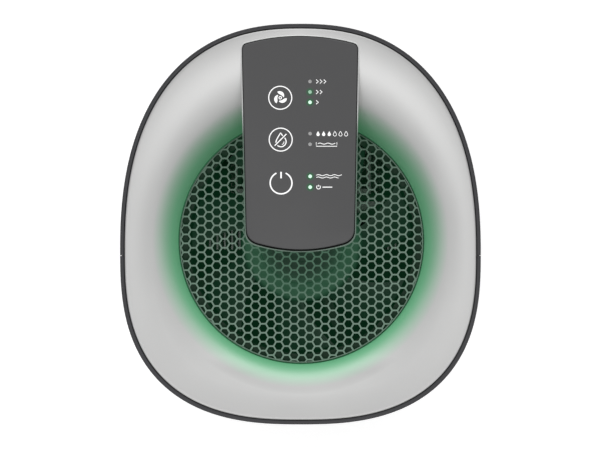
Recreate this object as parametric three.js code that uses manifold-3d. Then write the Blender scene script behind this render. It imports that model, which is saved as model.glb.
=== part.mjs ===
// A tabletop thermoelectric dehumidifier and air purifier, in millimetres, +Z up, front facing -Y.
// The origin is on the floor under the middle of the cabinet. Air enters through the filter door at
// the back, crosses the cold and hot heat sinks, and leaves through the honeycomb in the silver bowl.
import * as THREE from "three";
import { mergeVertices } from "three/addons/utils/BufferGeometryUtils.js";
import Module from "manifold-3d";

const wasm = await Module();
wasm.setup();

// ---------------------------------------------------------------------------------------------
// Driving dimensions
// ---------------------------------------------------------------------------------------------
// Plan outline: a superellipse, longer behind the seam than in front of it.
const HALF_WIDTH = 100;
const SEAM_Y = -17;
const REAR_DEPTH = 128;
const FRONT_DEPTH = 94;
const REAR_POWER = 2.41;
const FRONT_POWER = 2.6;
const OUTLINE_STEPS = 44;

// Upright form: straight near the rim, tapered below it, and tucked in at the floor.
const TAPER = 6;
const TAPER_TOP = 280;
const TUCK_TOP = 15;
const TUCK = 0.05;
const RIM_Z = 299;
const RIM_TILT = THREE.MathUtils.degToRad(6);

const WALL = 2.2;
const GAP = 0.3;
const BASE_LOW = 4;
const BASE_TOP = 9;
const SHELL_LOW = BASE_TOP + GAP;

// Silver bowl and the round outlet in it.
const OUTLET_Y = -9;
const OUTLET_RADIUS = 68.9;
const BOWL_EDGE_Z = 271;
const SKIRT_HEIGHT = 12;
const BOWL_STEPS = 5;

// Fan, below the outlet.
const HUB_RADIUS = 34;
const TIP_RADIUS = 61.5;
const BLADE_COUNT = 7;
const DUCT_RADIUS = 63.5;
const DUCT_OUTER = 68;
const FAN_LOW = 238;
const BLADE_Z = 255;
const EAR_RADIUS = 75;
const EAR_TOP = 261.2;

// Control pod, in its own plane: v runs up the slope, w stands off it.
const POD_REAR = 104.8;
const POD_FRONT = -14.3;
const POD_REAR_HALF = 31.8;
const POD_FRONT_HALF = 29.9;
const COVER_TOP = 1;
const COVER_LOW = -1.2;
const COVER_FRONT_GAP = 0.6;
const POD_FLOOR = -8.6;
const POD_LOW = -10.6;
const BOARD_LOW = -6.6;
const BOARD_TOP = -5;
const KEY_X = -10.8;
const LIGHT_X = 5.5;
const KEYS = { fan: 70.7, dry: 47.5, power: 23.4 };
const LIGHTS = { speed: [79.7, 73.9, 68.2], tank: [50.8, 44.9], power: [27.1, 21.1] };

// Water tank and its bay in the lower back.
const TANK_HALF = 72;
const TANK_LOW = 9.6;
const TANK_TOP = 113;
const TANK_WALL = 2.2;
const TANK_INSET = WALL + 0.8;
const BAY_HALF = 76;
const BAY_TOP = 119.5;
const GRIP_HALF = 47.5;
const GRIP_LOW = 68.5;
const GRIP_TOP = 111;
const GRIP_BACK = 78.5;
const GRIP_WALL = 2;
const HANDLE_Y = 92;
const HANDLE_Z = 104;
const INLET_Y = 32;
const DRAIN_Z = 24;
const FLOAT_X = -34;
const FLOAT_Y = -88;
const FLOAT_Z = 96;
const FLOAT_DROOP = THREE.MathUtils.degToRad(25);

// Filter door in the upper back.
const DOOR_HALF = 56;
const DOOR_LOW = 139;
const DOOR_TOP = 233;
const LOUVRE_COUNT = 8;

// Cooling stack, from the hot fins at the front to the cold fins at the back.
const DECK_LOW = 141;
const DECK_TOP = 143.4;
const HOT_FIN_PITCH = 4.2;
const HOT_FIN_COUNT = 26;
const COLD_FIN_PITCH = 6.3;
const COLD_FIN_COUNT = 13;
const STACK_MIDDLE_Z = 190;

const BASE_SCREWS = [
  ["front_left", -78.5, -45],
  ["front_right", 78.5, -45],
  ["rear_left", -78.5, 15],
  ["rear_right", 78.5, 15],
];
const FEET = [
  ["front_left", -52, -66],
  ["front_right", 52, -66],
  ["rear_left", -56, 58],
  ["rear_right", 56, 58],
];

// ---------------------------------------------------------------------------------------------
// Materials
// ---------------------------------------------------------------------------------------------
const finish = (color, roughness, metalness = 0) =>
  new THREE.MeshStandardMaterial({ color, roughness, metalness });
const charcoal = finish(0x46464a, 0.55);
const silver = finish(0xcfcfcf, 0.35, 0.7);
const meshGrey = finish(0x9aa39d, 0.5, 0.2);
const panelGrey = finish(0x535353, 0.6);
const lightGreen = finish(0x7ee0a4, 0.3);
const clear = finish(0xcfd8dc, 0.15);
const smoke = finish(0x9fb0b8, 0.2);
const rubber = finish(0x202022, 0.9);
const black = finish(0x1b1b1d, 0.6);
const aluminium = finish(0xb9bcbf, 0.4, 0.9);
const ceramic = finish(0xf0efe8, 0.7);
const foam = finish(0x2c2c2e, 0.95);
const board = finish(0x1f5a3a, 0.5);
const steel = finish(0xa9abad, 0.35, 1);
const copper = finish(0xb87333, 0.35, 1);
const paper = finish(0xf4f4f0, 0.9);
const white = finish(0xf2f2f2, 0.5);

// ---------------------------------------------------------------------------------------------
// Solids: geometry to solid and back
// ---------------------------------------------------------------------------------------------
function solid(geometry) {
  const bare = geometry.clone();
  bare.deleteAttribute("normal");
  bare.deleteAttribute("uv");
  const merged = mergeVertices(bare, 1e-4);
  const corners = [...merged.index.array];
  const kept = [];
  for (let i = 0; i < corners.length; i += 3) {
    const [a, b, c] = corners.slice(i, i + 3);
    if (a !== b && b !== c && c !== a) kept.push(a, b, c);
  }
  const make = (triangles) =>
    new wasm.Manifold(
      new wasm.Mesh({
        numProp: 3,
        vertProperties: new Float32Array(merged.attributes.position.array),
        triVerts: new Uint32Array(triangles),
      }),
    );
  const made = make(kept);
  if (made.volume() > 0) return made;
  const turned = [];
  for (let i = 0; i < kept.length; i += 3) turned.push(kept[i], kept[i + 2], kept[i + 1]);
  return make(turned);
}

function geometryOf(made) {
  const mesh = made.getMesh();
  const geometry = new THREE.BufferGeometry();
  geometry.setAttribute("position", new THREE.BufferAttribute(mesh.vertProperties, 3));
  geometry.setIndex(new THREE.BufferAttribute(mesh.triVerts, 1));
  const flat = geometry.toNonIndexed();
  flat.computeVertexNormals();
  return flat;
}

const united = (first, ...others) => others.reduce((sum, one) => sum.add(one), first);
const cut = (first, ...others) => others.reduce((left, one) => left.subtract(one), first);

function box(x, y, z) {
  const size = [x, y, z].map(([low, high]) => high - low);
  const middle = [x, y, z].map(([low, high]) => (low + high) / 2);
  return solid(new THREE.BoxGeometry(...size).translate(...middle));
}

// A round bar from low to high along one axis; place gives its other two coordinates.
function bar(axis, radius, low, high, place = [0, 0], steps = 20) {
  const geometry = new THREE.CylinderGeometry(radius, radius, high - low, steps);
  const middle = (low + high) / 2;
  if (axis === "x") geometry.rotateZ(Math.PI / 2).translate(middle, ...place);
  if (axis === "y") geometry.translate(place[0], middle, place[1]);
  if (axis === "z") geometry.rotateX(Math.PI / 2).translate(...place, middle);
  return solid(geometry);
}

// A turned piece about Z. The profile is a list of [radius, z].
function turned(profile, steps = 24) {
  const points = profile.map(([r, z]) => new THREE.Vector2(r, z));
  return solid(new THREE.LatheGeometry(points, steps).rotateX(Math.PI / 2));
}

const ringProfile = (inner, outer, low, high) => [
  [inner, low],
  [outer, low],
  [outer, high],
  [inner, high],
  [inner, low],
];

function extruded(shape, low, high, curveSegments = 6) {
  const settings = { depth: high - low, bevelEnabled: false, curveSegments };
  return new THREE.ExtrudeGeometry(shape, settings).translate(0, 0, low);
}

// A closed body through rings of points that all have the same count, capped with a fan at each end.
function loft(rings) {
  const count = rings[0].length;
  const points = rings.flat();
  const corners = [];
  for (let r = 0; r < rings.length - 1; r += 1) {
    for (let i = 0; i < count; i += 1) {
      const [a, b] = [r * count + i, r * count + ((i + 1) % count)];
      corners.push(a, b, b + count, a, b + count, a + count);
    }
  }
  const last = (rings.length - 1) * count;
  for (const [start, flip] of [
    [0, true],
    [last, false],
  ]) {
    const middle = points.length;
    const sum = new THREE.Vector3();
    for (let i = 0; i < count; i += 1) sum.add(points[start + i]);
    points.push(sum.divideScalar(count));
    for (let i = 0; i < count; i += 1) {
      const [a, b] = [start + i, start + ((i + 1) % count)];
      corners.push(middle, ...(flip ? [b, a] : [a, b]));
    }
  }
  return solid(new THREE.BufferGeometry().setFromPoints(points).setIndex(corners));
}

// A closed ring through sections that are themselves closed loops of points.
function ringLoft(sections) {
  const count = sections[0].length;
  const points = sections.flat();
  const corners = [];
  sections.forEach((_, s) => {
    const next = (s + 1) % sections.length;
    for (let i = 0; i < count; i += 1) {
      const j = (i + 1) % count;
      const [a, b] = [s * count + i, s * count + j];
      const [c, d] = [next * count + j, next * count + i];
      corners.push(a, b, c, a, c, d);
    }
  });
  return solid(new THREE.BufferGeometry().setFromPoints(points).setIndex(corners));
}

// ---------------------------------------------------------------------------------------------
// Cabinet form
// ---------------------------------------------------------------------------------------------
function outlinePoint(angle, inset) {
  const [c, s] = [Math.cos(angle), Math.sin(angle)];
  const power = s >= 0 ? REAR_POWER : FRONT_POWER;
  const depth = (s >= 0 ? REAR_DEPTH : FRONT_DEPTH) - inset;
  const x = (HALF_WIDTH - inset) * Math.sign(c) * Math.abs(c) ** (2 / power);
  const y = SEAM_Y + depth * Math.sign(s) * Math.abs(s) ** (2 / power);
  return [x, y];
}

const outlineAngles = Array.from(
  { length: OUTLINE_STEPS },
  (_, i) => (i / OUTLINE_STEPS) * 2 * Math.PI,
);

function formInset(z) {
  const taper = TAPER * Math.max(0, 1 - z / TAPER_TOP);
  return taper + TUCK * Math.max(0, TUCK_TOP - z) ** 2;
}

const rimZ = (y) => RIM_Z + y * Math.tan(RIM_TILT);

// The cabinet's form, inset everywhere, from a low level up to a level or up to the tilted rim.
function form(inset, low, high) {
  const top = high ?? TAPER_TOP + 1;
  const between = [BASE_TOP, TUCK_TOP, TAPER_TOP].filter((z) => z > low && z < top);
  const ring = (level, height) =>
    outlineAngles.map((angle) => {
      const [x, y] = outlinePoint(angle, formInset(level) + inset);
      return new THREE.Vector3(x, y, height(y));
    });
  const rings = [low, ...between].map((z) => ring(z, () => z));
  rings.push(high === undefined ? ring(TAPER_TOP, rimZ) : ring(high, () => high));
  return loft(rings);
}

const WIDE = [-200, 200];
const behind = box(WIDE, [SEAM_Y + GAP / 2, 200], [-10, 400]);
const ahead = box(WIDE, [-200, SEAM_Y - GAP / 2], [-10, 400]);

const wall = cut(form(0, SHELL_LOW), form(WALL, SHELL_LOW - 1, 275).add(
  loft([275, 320].map((z) =>
    outlineAngles.map((angle) => new THREE.Vector3(...outlinePoint(angle, WALL), z)),
  )),
));

function roundEndedSlot(halfWidth, low, high) {
  const shape = new THREE.Shape();
  shape.absarc(0, high - halfWidth, halfWidth, 0, Math.PI);
  shape.absarc(0, low + halfWidth, halfWidth, Math.PI, 2 * Math.PI);
  return solid(extruded(shape, 0, 60).rotateX(Math.PI / 2).translate(0, -60, 0));
}

// A screw boss standing on the base plate, tied to the side wall by a rib.
function sideBoss(x, y) {
  const side = Math.sign(x);
  const rib = [Math.min(x, x + side * 16), Math.max(x, x + side * 16)];
  return united(
    bar("z", 4.2, SHELL_LOW, 30, [x, y], 12),
    box(rib, [y - 1, y + 1], [SHELL_LOW, 30]).intersect(form(0.5, SHELL_LOW, 40)),
  );
}

const bossHole = (x, y) => bar("z", 1.7, 0, 26, [x, y], 8);

const root = new THREE.Group();
function add(name, shape, material, parent = root) {
  const geometry = shape.isBufferGeometry ? shape : geometryOf(shape);
  const mesh = new THREE.Mesh(geometry, material);
  mesh.name = name;
  parent.add(mesh);
  return mesh;
}

// ---------------------------------------------------------------------------------------------
// Base, feet and shells
// ---------------------------------------------------------------------------------------------
let base = form(0.4, BASE_LOW, BASE_TOP);
for (const [, x, y] of BASE_SCREWS) {
  base = cut(base, bar("z", 1.9, 0, 20, [x, y], 10), bar("z", 3.3, 0, 6, [x, y], 12));
}
for (const [, x, y] of FEET) base = cut(base, bar("z", 10.5, 0, 6, [x, y], 16));
add("base_plate", base, charcoal);

const footProfile = [
  [0, 0],
  [8, 0],
  [9.5, 1.2],
  [10, 5.7],
  [0, 5.7],
];
for (const [name, x, y] of FEET) {
  add(`foot_${name}`, turned(footProfile, 16), rubber).position.set(x, y, 0);
}

const windowLow = 30;
const windowHigh = 100;
let frontShell = cut(wall.intersect(ahead), roundEndedSlot(5, windowLow, windowHigh));
let rearShell = cut(
  wall.intersect(behind),
  box([-BAY_HALF, BAY_HALF], [0, 200], [0, BAY_TOP]),
  box([-DOOR_HALF, DOOR_HALF], [0, 200], [DOOR_LOW, DOOR_TOP]),
  bar("y", 6.4, 60, 140, [-30, 129.5], 20),
);
for (const [, x, y] of BASE_SCREWS) {
  const boss = sideBoss(x, y).subtract(bossHole(x, y));
  if (y < SEAM_Y) frontShell = frontShell.add(boss);
  else rearShell = rearShell.add(boss);
}
add("front_shell", frontShell, charcoal);
add("rear_shell", rearShell, charcoal);
add(
  "level_window",
  wall.intersect(roundEndedSlot(5 - GAP, windowLow + GAP, windowHigh - GAP)),
  clear,
);

// A pan-head screw, head down, its tip at the given height above the head's underside.
function screwProfile(length) {
  return [
    [0, -1.8],
    [2.2, -1.8],
    [2.8, -0.9],
    [2.8, 0],
    [1.3, 0],
    [1.3, length - 1.5],
    [0, length],
  ];
}
for (const [name, x, y] of BASE_SCREWS) {
  add(`base_screw_${name}`, turned(screwProfile(18), 8), steel).position.set(x, y, 5.7);
}

// ---------------------------------------------------------------------------------------------
// Silver bowl, and the tray of the control pod that reaches over it
// ---------------------------------------------------------------------------------------------
function bowlSection(angle) {
  const outer = new THREE.Vector2(...outlinePoint(angle, WALL + GAP));
  const centre = new THREE.Vector2(0, OUTLET_Y);
  const inward = centre.clone().sub(outer).normalize();
  const run = outer.distanceTo(centre) - OUTLET_RADIUS;
  const rise = rimZ(outer.y) - BOWL_EDGE_Z;
  const arc = (step, thin) => {
    const t = ((step / BOWL_STEPS) * Math.PI) / 2;
    return [(run - thin) * Math.sin(t), (rise - thin) * Math.cos(t)];
  };
  const topSteps = Array.from({ length: BOWL_STEPS }, (_, i) => i + 1);
  const profile = [
    [0, rise - SKIRT_HEIGHT],
    [0, rise - 0.8],
    [0.8, rise],
    ...topSteps.map((step) => arc(step, 0)),
    [run, -1],
    [run - WALL, -1],
    ...[4, 3, 1].map((step) => arc(step, WALL)),
    [WALL, rise - WALL - 0.6],
    [WALL, rise - SKIRT_HEIGHT],
  ];
  return profile.map(([along, height]) => {
    const at = outer.clone().addScaledVector(inward, along);
    return new THREE.Vector3(at.x, at.y, BOWL_EDGE_Z + height);
  });
}

// The pod's outline in its own plane, grown outwards by grow; frontGap holds its front edge back.
function podShape(grow, frontGap = 0) {
  const rear = POD_REAR_HALF + grow;
  const front = POD_FRONT_HALF + grow;
  const [high, low] = [POD_REAR + grow, POD_FRONT - grow + frontGap];
  const shape = new THREE.Shape();
  shape.moveTo(-rear, high - 8);
  shape.quadraticCurveTo(-rear, high - 4.8, -rear + 2.6, high - 4.2);
  shape.quadraticCurveTo(0, high + 3.6, rear - 2.6, high - 4.2);
  shape.quadraticCurveTo(rear, high - 4.8, rear, high - 8);
  shape.lineTo(front, low + 11.6);
  shape.quadraticCurveTo(front, low + 4.6, front - 8, low + 3);
  shape.quadraticCurveTo(0, low - 3, -front + 8, low + 3);
  shape.quadraticCurveTo(-front, low + 4.6, -front, low + 11.6);
  shape.closePath();
  return shape;
}

const podPlace = new THREE.Matrix4()
  .makeRotationX(RIM_TILT)
  .setPosition(0, 0, RIM_Z);
const inPod = (geometry) => solid(geometry.clone().applyMatrix4(podPlace));
const podBar = (radius, low, high, x, v, steps = 12) =>
  inPod(
    new THREE.CylinderGeometry(radius, radius, high - low, steps)
      .rotateX(Math.PI / 2)
      .translate(x, v, (low + high) / 2),
  );
const podBox = (x, v, w) =>
  inPod(
    new THREE.BoxGeometry(x[1] - x[0], v[1] - v[0], w[1] - w[0]).translate(
      (x[0] + x[1]) / 2,
      (v[0] + v[1]) / 2,
      (w[0] + w[1]) / 2,
    ),
  );

const BOARD_SCREW_V = [90, -4];
const earAngles = [45, 135, 225, 315].map(THREE.MathUtils.degToRad);
const earPlace = (angle) => [
  EAR_RADIUS * Math.cos(angle),
  OUTLET_Y + EAR_RADIUS * Math.sin(angle),
];

let bezel = cut(
  ringLoft(outlineAngles.map(bowlSection)),
  inPod(extruded(podShape(1 + GAP), POD_LOW - GAP, 30)),
);
for (const angle of earAngles) {
  bezel = bezel.add(bar("z", 3, EAR_TOP + GAP, 278, earPlace(angle), 10));
  bezel = cut(bezel, bar("z", 1.6, EAR_TOP, 274, earPlace(angle), 8));
}
add("top_bezel", bezel, silver);

let tray = cut(
  inPod(extruded(podShape(1), POD_LOW, 0.4)),
  inPod(extruded(podShape(GAP), COVER_LOW - GAP, 20)),
  inPod(extruded(podShape(-1.8), POD_FLOOR, 5)),
  podBox([-8, 8], [78, 84], [POD_LOW - 2, POD_FLOOR + 1]),
);
for (const v of BOARD_SCREW_V) {
  tray = tray.add(podBar(3, POD_FLOOR - 0.5, BOARD_LOW - GAP, 0, v, 12));
  tray = cut(tray, podBar(1.3, POD_LOW + 1, 0, 0, v, 8));
}
add("pod_tray", tray, silver);

// ---------------------------------------------------------------------------------------------
// Control pod: cover, board, touch springs and light pipes
// ---------------------------------------------------------------------------------------------
const pod = new THREE.Group();
pod.rotation.x = RIM_TILT;
pod.position.z = RIM_Z;
root.add(pod);

const lightRadius = 1;
let cover = solid(extruded(podShape(0, COVER_FRONT_GAP), COVER_LOW, COVER_TOP));
for (const v of Object.values(LIGHTS).flat()) {
  cover = cut(cover, bar("z", lightRadius + GAP, -5, 5, [LIGHT_X, v], 10));
}
add("panel_cover", cover, panelGrey, pod);

let controlBoard = solid(extruded(podShape(-2.6), BOARD_LOW, BOARD_TOP));
for (const v of BOARD_SCREW_V) {
  controlBoard = cut(controlBoard, bar("z", 1.6, -20, 5, [0, v], 8));
}
controlBoard = united(
  controlBoard,
  box([-22, -12], [0, 8], [BOARD_TOP - 0.2, -3.2]),
  box([-14, 0], [78, 85], [BOARD_TOP - 0.2, -2.2]),
);
add("control_board", controlBoard, board, pod);

class SpringLine extends THREE.Curve {
  getPoint(t, target = new THREE.Vector3()) {
    const turn = 2 * 2 * Math.PI * t;
    return target.set(2.6 * Math.cos(turn), 2.6 * Math.sin(turn), 2.5 * t);
  }
}
const wireSection = new THREE.Shape().absarc(0, 0, 0.3, 0, 2 * Math.PI);
const springCoil = new THREE.ExtrudeGeometry(wireSection, {
  steps: 16,
  curveSegments: 2,
  bevelEnabled: false,
  extrudePath: new SpringLine(),
});
for (const [key, v] of Object.entries(KEYS)) {
  const spring = add(`${key}_key_spring`, solid(springCoil), copper, pod);
  spring.position.set(KEY_X, v, BOARD_TOP + 0.6);
}

for (const [name, places] of Object.entries(LIGHTS)) {
  const [high, low] = [places[0] + 1.4, places.at(-1) - 1.4];
  let pipes = box([LIGHT_X - 1.4, LIGHT_X + 1.4], [low, high], [-4, COVER_LOW - 0.6]);
  for (const v of places) {
    pipes = pipes.add(bar("z", lightRadius, -3, COVER_TOP, [LIGHT_X, v], 10));
  }
  add(`${name}_light_pipes`, pipes, clear, pod);
}
BOARD_SCREW_V.forEach((v, i) => {
  const screw = add(`board_screw_${["rear", "front"][i]}`, turned(screwProfile(4).map(
    ([r, z]) => [r * 0.75, z * 0.9],
  ), 8), steel, pod);
  screw.position.set(0, v, BOARD_TOP + 0.2);
  screw.rotation.x = Math.PI;
});

// ---------------------------------------------------------------------------------------------
// Outlet: honeycomb, light ring and its strip of diodes
// ---------------------------------------------------------------------------------------------
const outlet = new THREE.Group();
outlet.position.y = OUTLET_Y;
root.add(outlet);

const CELL_PITCH = 20;
const CELL_RIB = 1.6;
const GRILLE_RADIUS = 68.2;
const GRILLE_BAND = 3.4;
function honeycomb() {
  const disc = new THREE.Shape().absarc(0, 0, GRILLE_RADIUS, 0, 2 * Math.PI);
  const cellRadius = (CELL_PITCH - CELL_RIB) / Math.sqrt(3);
  const columnPitch = (CELL_PITCH * Math.sqrt(3)) / 2;
  const reach = GRILLE_RADIUS - GRILLE_BAND - cellRadius;
  const span = Math.ceil(GRILLE_RADIUS / columnPitch);
  for (let column = -span; column <= span; column += 1) {
    for (let row = -span; row <= span; row += 1) {
      const x = column * columnPitch;
      const y = (row + (column % 2 ? 0.5 : 0)) * CELL_PITCH;
      if (Math.hypot(x, y) > reach) continue;
      const cell = new THREE.Path();
      const corners = Array.from({ length: 6 }, (_, i) => (i * Math.PI) / 3);
      cell.setFromPoints(
        corners.map((a) => new THREE.Vector2(x + cellRadius * Math.cos(a), y + cellRadius * Math.sin(a))),
      );
      cell.closePath();
      disc.holes.push(cell);
    }
  }
  return extruded(disc, 268, 270.5, 20);
}
add("outlet_grille", solid(honeycomb()), meshGrey, outlet);
add("light_ring", turned([
  [68.5, 264],
  [71, 264],
  [71, 269.4],
  [68.9, 269.8],
  [68.5, 269.8],
  [68.5, 264],
], 36), lightGreen, outlet);
add("light_strip", turned(ringProfile(68.7, 70.8, 261.8, 263.6), 36), board, outlet);

// ---------------------------------------------------------------------------------------------
// Fan
// ---------------------------------------------------------------------------------------------
let shroud = turned(ringProfile(DUCT_RADIUS, DUCT_OUTER, FAN_LOW, 267.5), 28);
for (const angle of [0, 90, 180, 270]) {
  const strut = solid(
    new THREE.BoxGeometry(DUCT_RADIUS - 12, 5, 4)
      .translate((DUCT_RADIUS + 14) / 2, 0, FAN_LOW + 2)
      .rotateZ(THREE.MathUtils.degToRad(angle + 22.5)),
  );
  shroud = shroud.add(strut);
}
shroud = shroud.add(bar("z", 17, FAN_LOW, FAN_LOW + 4, [0, 0], 24));
for (const angle of earAngles) {
  const arm = solid(
    new THREE.BoxGeometry(EAR_RADIUS - DUCT_RADIUS - 1, 8, 4.2)
      .translate((EAR_RADIUS + DUCT_RADIUS + 1) / 2, 0, EAR_TOP - 2.1)
      .rotateZ(angle),
  );
  const place = [EAR_RADIUS * Math.cos(angle), EAR_RADIUS * Math.sin(angle)];
  shroud = shroud.add(arm).add(bar("z", 4, EAR_TOP - 4.2, EAR_TOP, place, 12));
  shroud = shroud.subtract(bar("z", 1.7, EAR_TOP - 10, EAR_TOP + 5, place, 8));
}
add("fan_shroud", shroud, black, outlet);
["rear_right", "rear_left", "front_left", "front_right"].forEach((name, i) => {
  const [x, y] = earPlace(earAngles[i]);
  const screw = add(`fan_screw_${name}`, turned(screwProfile(14), 8), steel);
  screw.position.set(x, y, EAR_TOP - 4.2 - 0.3);
});

add("fan_motor", turned([
  [2.4, FAN_LOW + 4.3],
  [15, FAN_LOW + 4.3],
  [15, FAN_LOW + 7],
  [22, FAN_LOW + 8],
  [22, 253],
  [6, 253],
  [4.5, 254.5],
  [2.4, 254.5],
  [2.4, FAN_LOW + 4.3],
]), copper, outlet);

const hubProfile = [
  [0, 262],
  [2.3, 262],
  [2.3, 255.5],
  [5, 255.5],
  [5, 261.4],
  [HUB_RADIUS - 2.4, 261.4],
  [HUB_RADIUS - 2.4, 246],
  [HUB_RADIUS, 246],
  [HUB_RADIUS, 261],
  [HUB_RADIUS - 1.2, 263.2],
  [HUB_RADIUS - 4, 264],
  [0, 264],
];

// One blade: thin sections on cylinders of growing radius, turned flatter and swept towards the tip.
function blade(startAngle) {
  const rings = [HUB_RADIUS - 1.4, 43, 52, TIP_RADIUS].map((radius, i) => {
    const share = i / 3;
    const pitch = THREE.MathUtils.degToRad(48 - 20 * share);
    const chord = 23 + 10 * share;
    const thick = 2.4 - 1.2 * share;
    const sweep = startAngle + 0.3 * share;
    const around = [
      [-0.5, 0],
      [-0.2, -0.5],
      [0.25, -0.5],
      [0.5, 0],
      [0.2, 0.5],
      [-0.25, 0.5],
    ];
    return around.map(([u, n]) => {
      const [a, b] = [u * chord, n * thick + 1.6 * (1 - 4 * u * u)];
      const along = a * Math.cos(pitch) - b * Math.sin(pitch);
      const height = a * Math.sin(pitch) + b * Math.cos(pitch);
      const angle = sweep + along / radius;
      return new THREE.Vector3(
        radius * Math.cos(angle),
        radius * Math.sin(angle),
        BLADE_Z - 0.8 + height,
      );
    });
  });
  return loft(rings);
}
let rotor = turned(hubProfile, 28);
for (let i = 0; i < BLADE_COUNT; i += 1) {
  rotor = rotor.add(blade((i / BLADE_COUNT) * 2 * Math.PI));
}
add("fan_rotor", rotor, black, outlet);
add("fan_shaft", turned([
  [0, 243],
  [2, 243],
  [2, 261],
  [1.5, 261.7],
  [0, 261.7],
], 12), steel, outlet);
add("rotor_magnet", turned(ringProfile(27.5, HUB_RADIUS - 2.8, 247, 258), 24), steel, outlet);

// ---------------------------------------------------------------------------------------------
// Inner frame and cooling stack
// ---------------------------------------------------------------------------------------------
const SINK_SCREW_X = 34.65;
let frame = united(
  form(WALL + 0.5, DECK_LOW, DECK_TOP),
  box([-62, 62], [14, 16.6], [DECK_TOP - 1, 236]),
);
frame = cut(
  frame,
  box([-44, 44], [18.5, 45.5], [130, 150]),
  box([-50, 50], [-14, 8], [130, 150]),
  box([-30.3, 30.3], [10, 20], [159.7, 220.3]),
);
for (const side of [-1, 1]) {
  frame = cut(frame, bar("y", 1.9, 0, 40, [side * SINK_SCREW_X, STACK_MIDDLE_Z], 8));
}
add("inner_frame", frame, black);

// A finned block: fins run up it, and stand off its base towards finTip.
function finned(count, pitch, thick, baseRange, finTip, low, high) {
  const half = ((count - 1) / 2) * pitch + thick / 2;
  const [baseFin, baseFar] = baseRange;
  const points = [
    [-half, baseFar],
    [half, baseFar],
  ];
  for (let i = count - 1; i >= 0; i -= 1) {
    const x = (i - (count - 1) / 2) * pitch;
    if (i < count - 1) points.push([x + thick / 2, baseFin]);
    points.push([x + thick / 2, finTip], [x - thick / 2, finTip]);
    if (i > 0) points.push([x - thick / 2, baseFin]);
  }
  const shape = new THREE.Shape(points.map(([x, y]) => new THREE.Vector2(x, y)));
  return solid(extruded(shape, low, high));
}
let hotSink = finned(HOT_FIN_COUNT, HOT_FIN_PITCH, 1, [8.3, 13.3], -14, 148, 232);
let coldSink = finned(COLD_FIN_COUNT, COLD_FIN_PITCH, 1.2, [20.4, 17.4], 43, 150, 226);
for (const side of [-1, 1]) {
  const place = [side * SINK_SCREW_X, STACK_MIDDLE_Z];
  hotSink = cut(hotSink, bar("y", 1.7, 9.3, 30, place, 8));
  coldSink = cut(coldSink, bar("y", 1.7, 10, 24, place, 8));
}
add("hot_heat_sink", hotSink, aluminium);
add("cold_heat_sink", coldSink, aluminium);
add("peltier_module", box([-20, 20], [13.6, 17.1], [170, 210]), ceramic);
add("insulation_pad", cut(
  box([-30, 30], [13.7, 17], [160, 220]),
  box([-20.3, 20.3], [10, 20], [169.7, 210.3]),
), foam);
for (const [name, side] of [["left", -1], ["right", 1]]) {
  const screw = add(`sink_screw_${name}`, turned(screwProfile(11).map(
    ([r, z]) => [r * 0.85, z],
  ), 8), steel);
  screw.position.set(side * SINK_SCREW_X, 20.7, STACK_MIDDLE_Z);
  screw.rotation.x = Math.PI / 2;
}

const rectangle = (halfX, [y0, y1], z) => [
  new THREE.Vector3(-halfX, y0, z),
  new THREE.Vector3(halfX, y0, z),
  new THREE.Vector3(halfX, y1, z),
  new THREE.Vector3(-halfX, y1, z),
];
add("drip_tray", cut(
  united(
    loft([rectangle(8, [24, 40], 131), rectangle(47, [17.5, 47], 138), rectangle(47, [17.5, 47], 140.7)]),
    bar("z", 5, 126.6, 132, [0, INLET_Y], 16),
  ),
  loft([rectangle(6, [26, 38], 133), rectangle(45, [19.5, 45], 140), rectangle(45, [19.5, 45], 142)]),
  bar("z", 3.2, 120, 136, [0, INLET_Y], 12),
), white);

add("power_board", united(
  box([-38, 38], [-78, -76.4], [150, 210]),
  box([-30, -12], [-92, -77], [160, 176]),
  box([-4, 20], [-86, -77], [186, 202]),
  bar("y", 5, -90, -77, [10, 166], 12),
  bar("y", 4, -88, -77, [24, 166], 12),
  box([-34, -24], [-84, -77], [190, 204]),
), board);
add("full_tank_sensor", united(
  box([FLOAT_X - 6, FLOAT_X + 6], [-56, -42], [128, DECK_LOW - GAP]),
  box([FLOAT_X - 3, FLOAT_X + 3], [-52, -46], [126.6, 129]),
), black);
add("dc_socket", united(
  cut(
    united(box([-37, -23], [86, 98], [124, 135]), bar("y", 6, 95, 103.2, [-30, 129.5], 20)),
    bar("y", 2.8, 92, 110, [-30, 129.5], 16),
  ),
  bar("y", 1, 91, 102, [-30, 129.5], 8),
), black);

// ---------------------------------------------------------------------------------------------
// Tank, its fascia, lid, handle, float and drain plug
// ---------------------------------------------------------------------------------------------
const tankBlock = (inset, half, low, high) =>
  form(inset, low, high).intersect(box([-half, half], WIDE, [low - 1, high + 1]));
const notch = (grow) =>
  box([-(GRIP_HALF + GRIP_WALL + 0.5 + grow), GRIP_HALF + GRIP_WALL + 0.5 + grow],
    [GRIP_BACK - GRIP_WALL - 0.5 - grow, 200],
    [GRIP_LOW - GRIP_WALL - 0.5 - grow, 200]);

const floatEar = (x) => {
  const shape = box([x - 1, x + 1], [-101, FLOAT_Y + 5], [FLOAT_Z - 5, FLOAT_Z + 5]);
  return cut(shape, bar("x", 2.3, x - 5, x + 5, [FLOAT_Y, FLOAT_Z], 12));
};
const EAR_OFFSET = 11;
let tank = cut(tankBlock(TANK_INSET, TANK_HALF, TANK_LOW, TANK_TOP), notch(0));
tank = cut(
  tank,
  cut(tankBlock(TANK_INSET + TANK_WALL, TANK_HALF - TANK_WALL, TANK_LOW + 2.4, TANK_TOP + 5), notch(TANK_WALL)),
);
const earRoom = tankBlock(TANK_INSET + 0.5, TANK_HALF, 50, TANK_TOP);
for (const side of [-1, 1]) {
  tank = tank.add(floatEar(FLOAT_X + side * EAR_OFFSET).intersect(earRoom));
}
tank = cut(tank, bar("y", 4.6, 80, 120, [0, DRAIN_Z], 16));
add("water_tank", tank, smoke);

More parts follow.
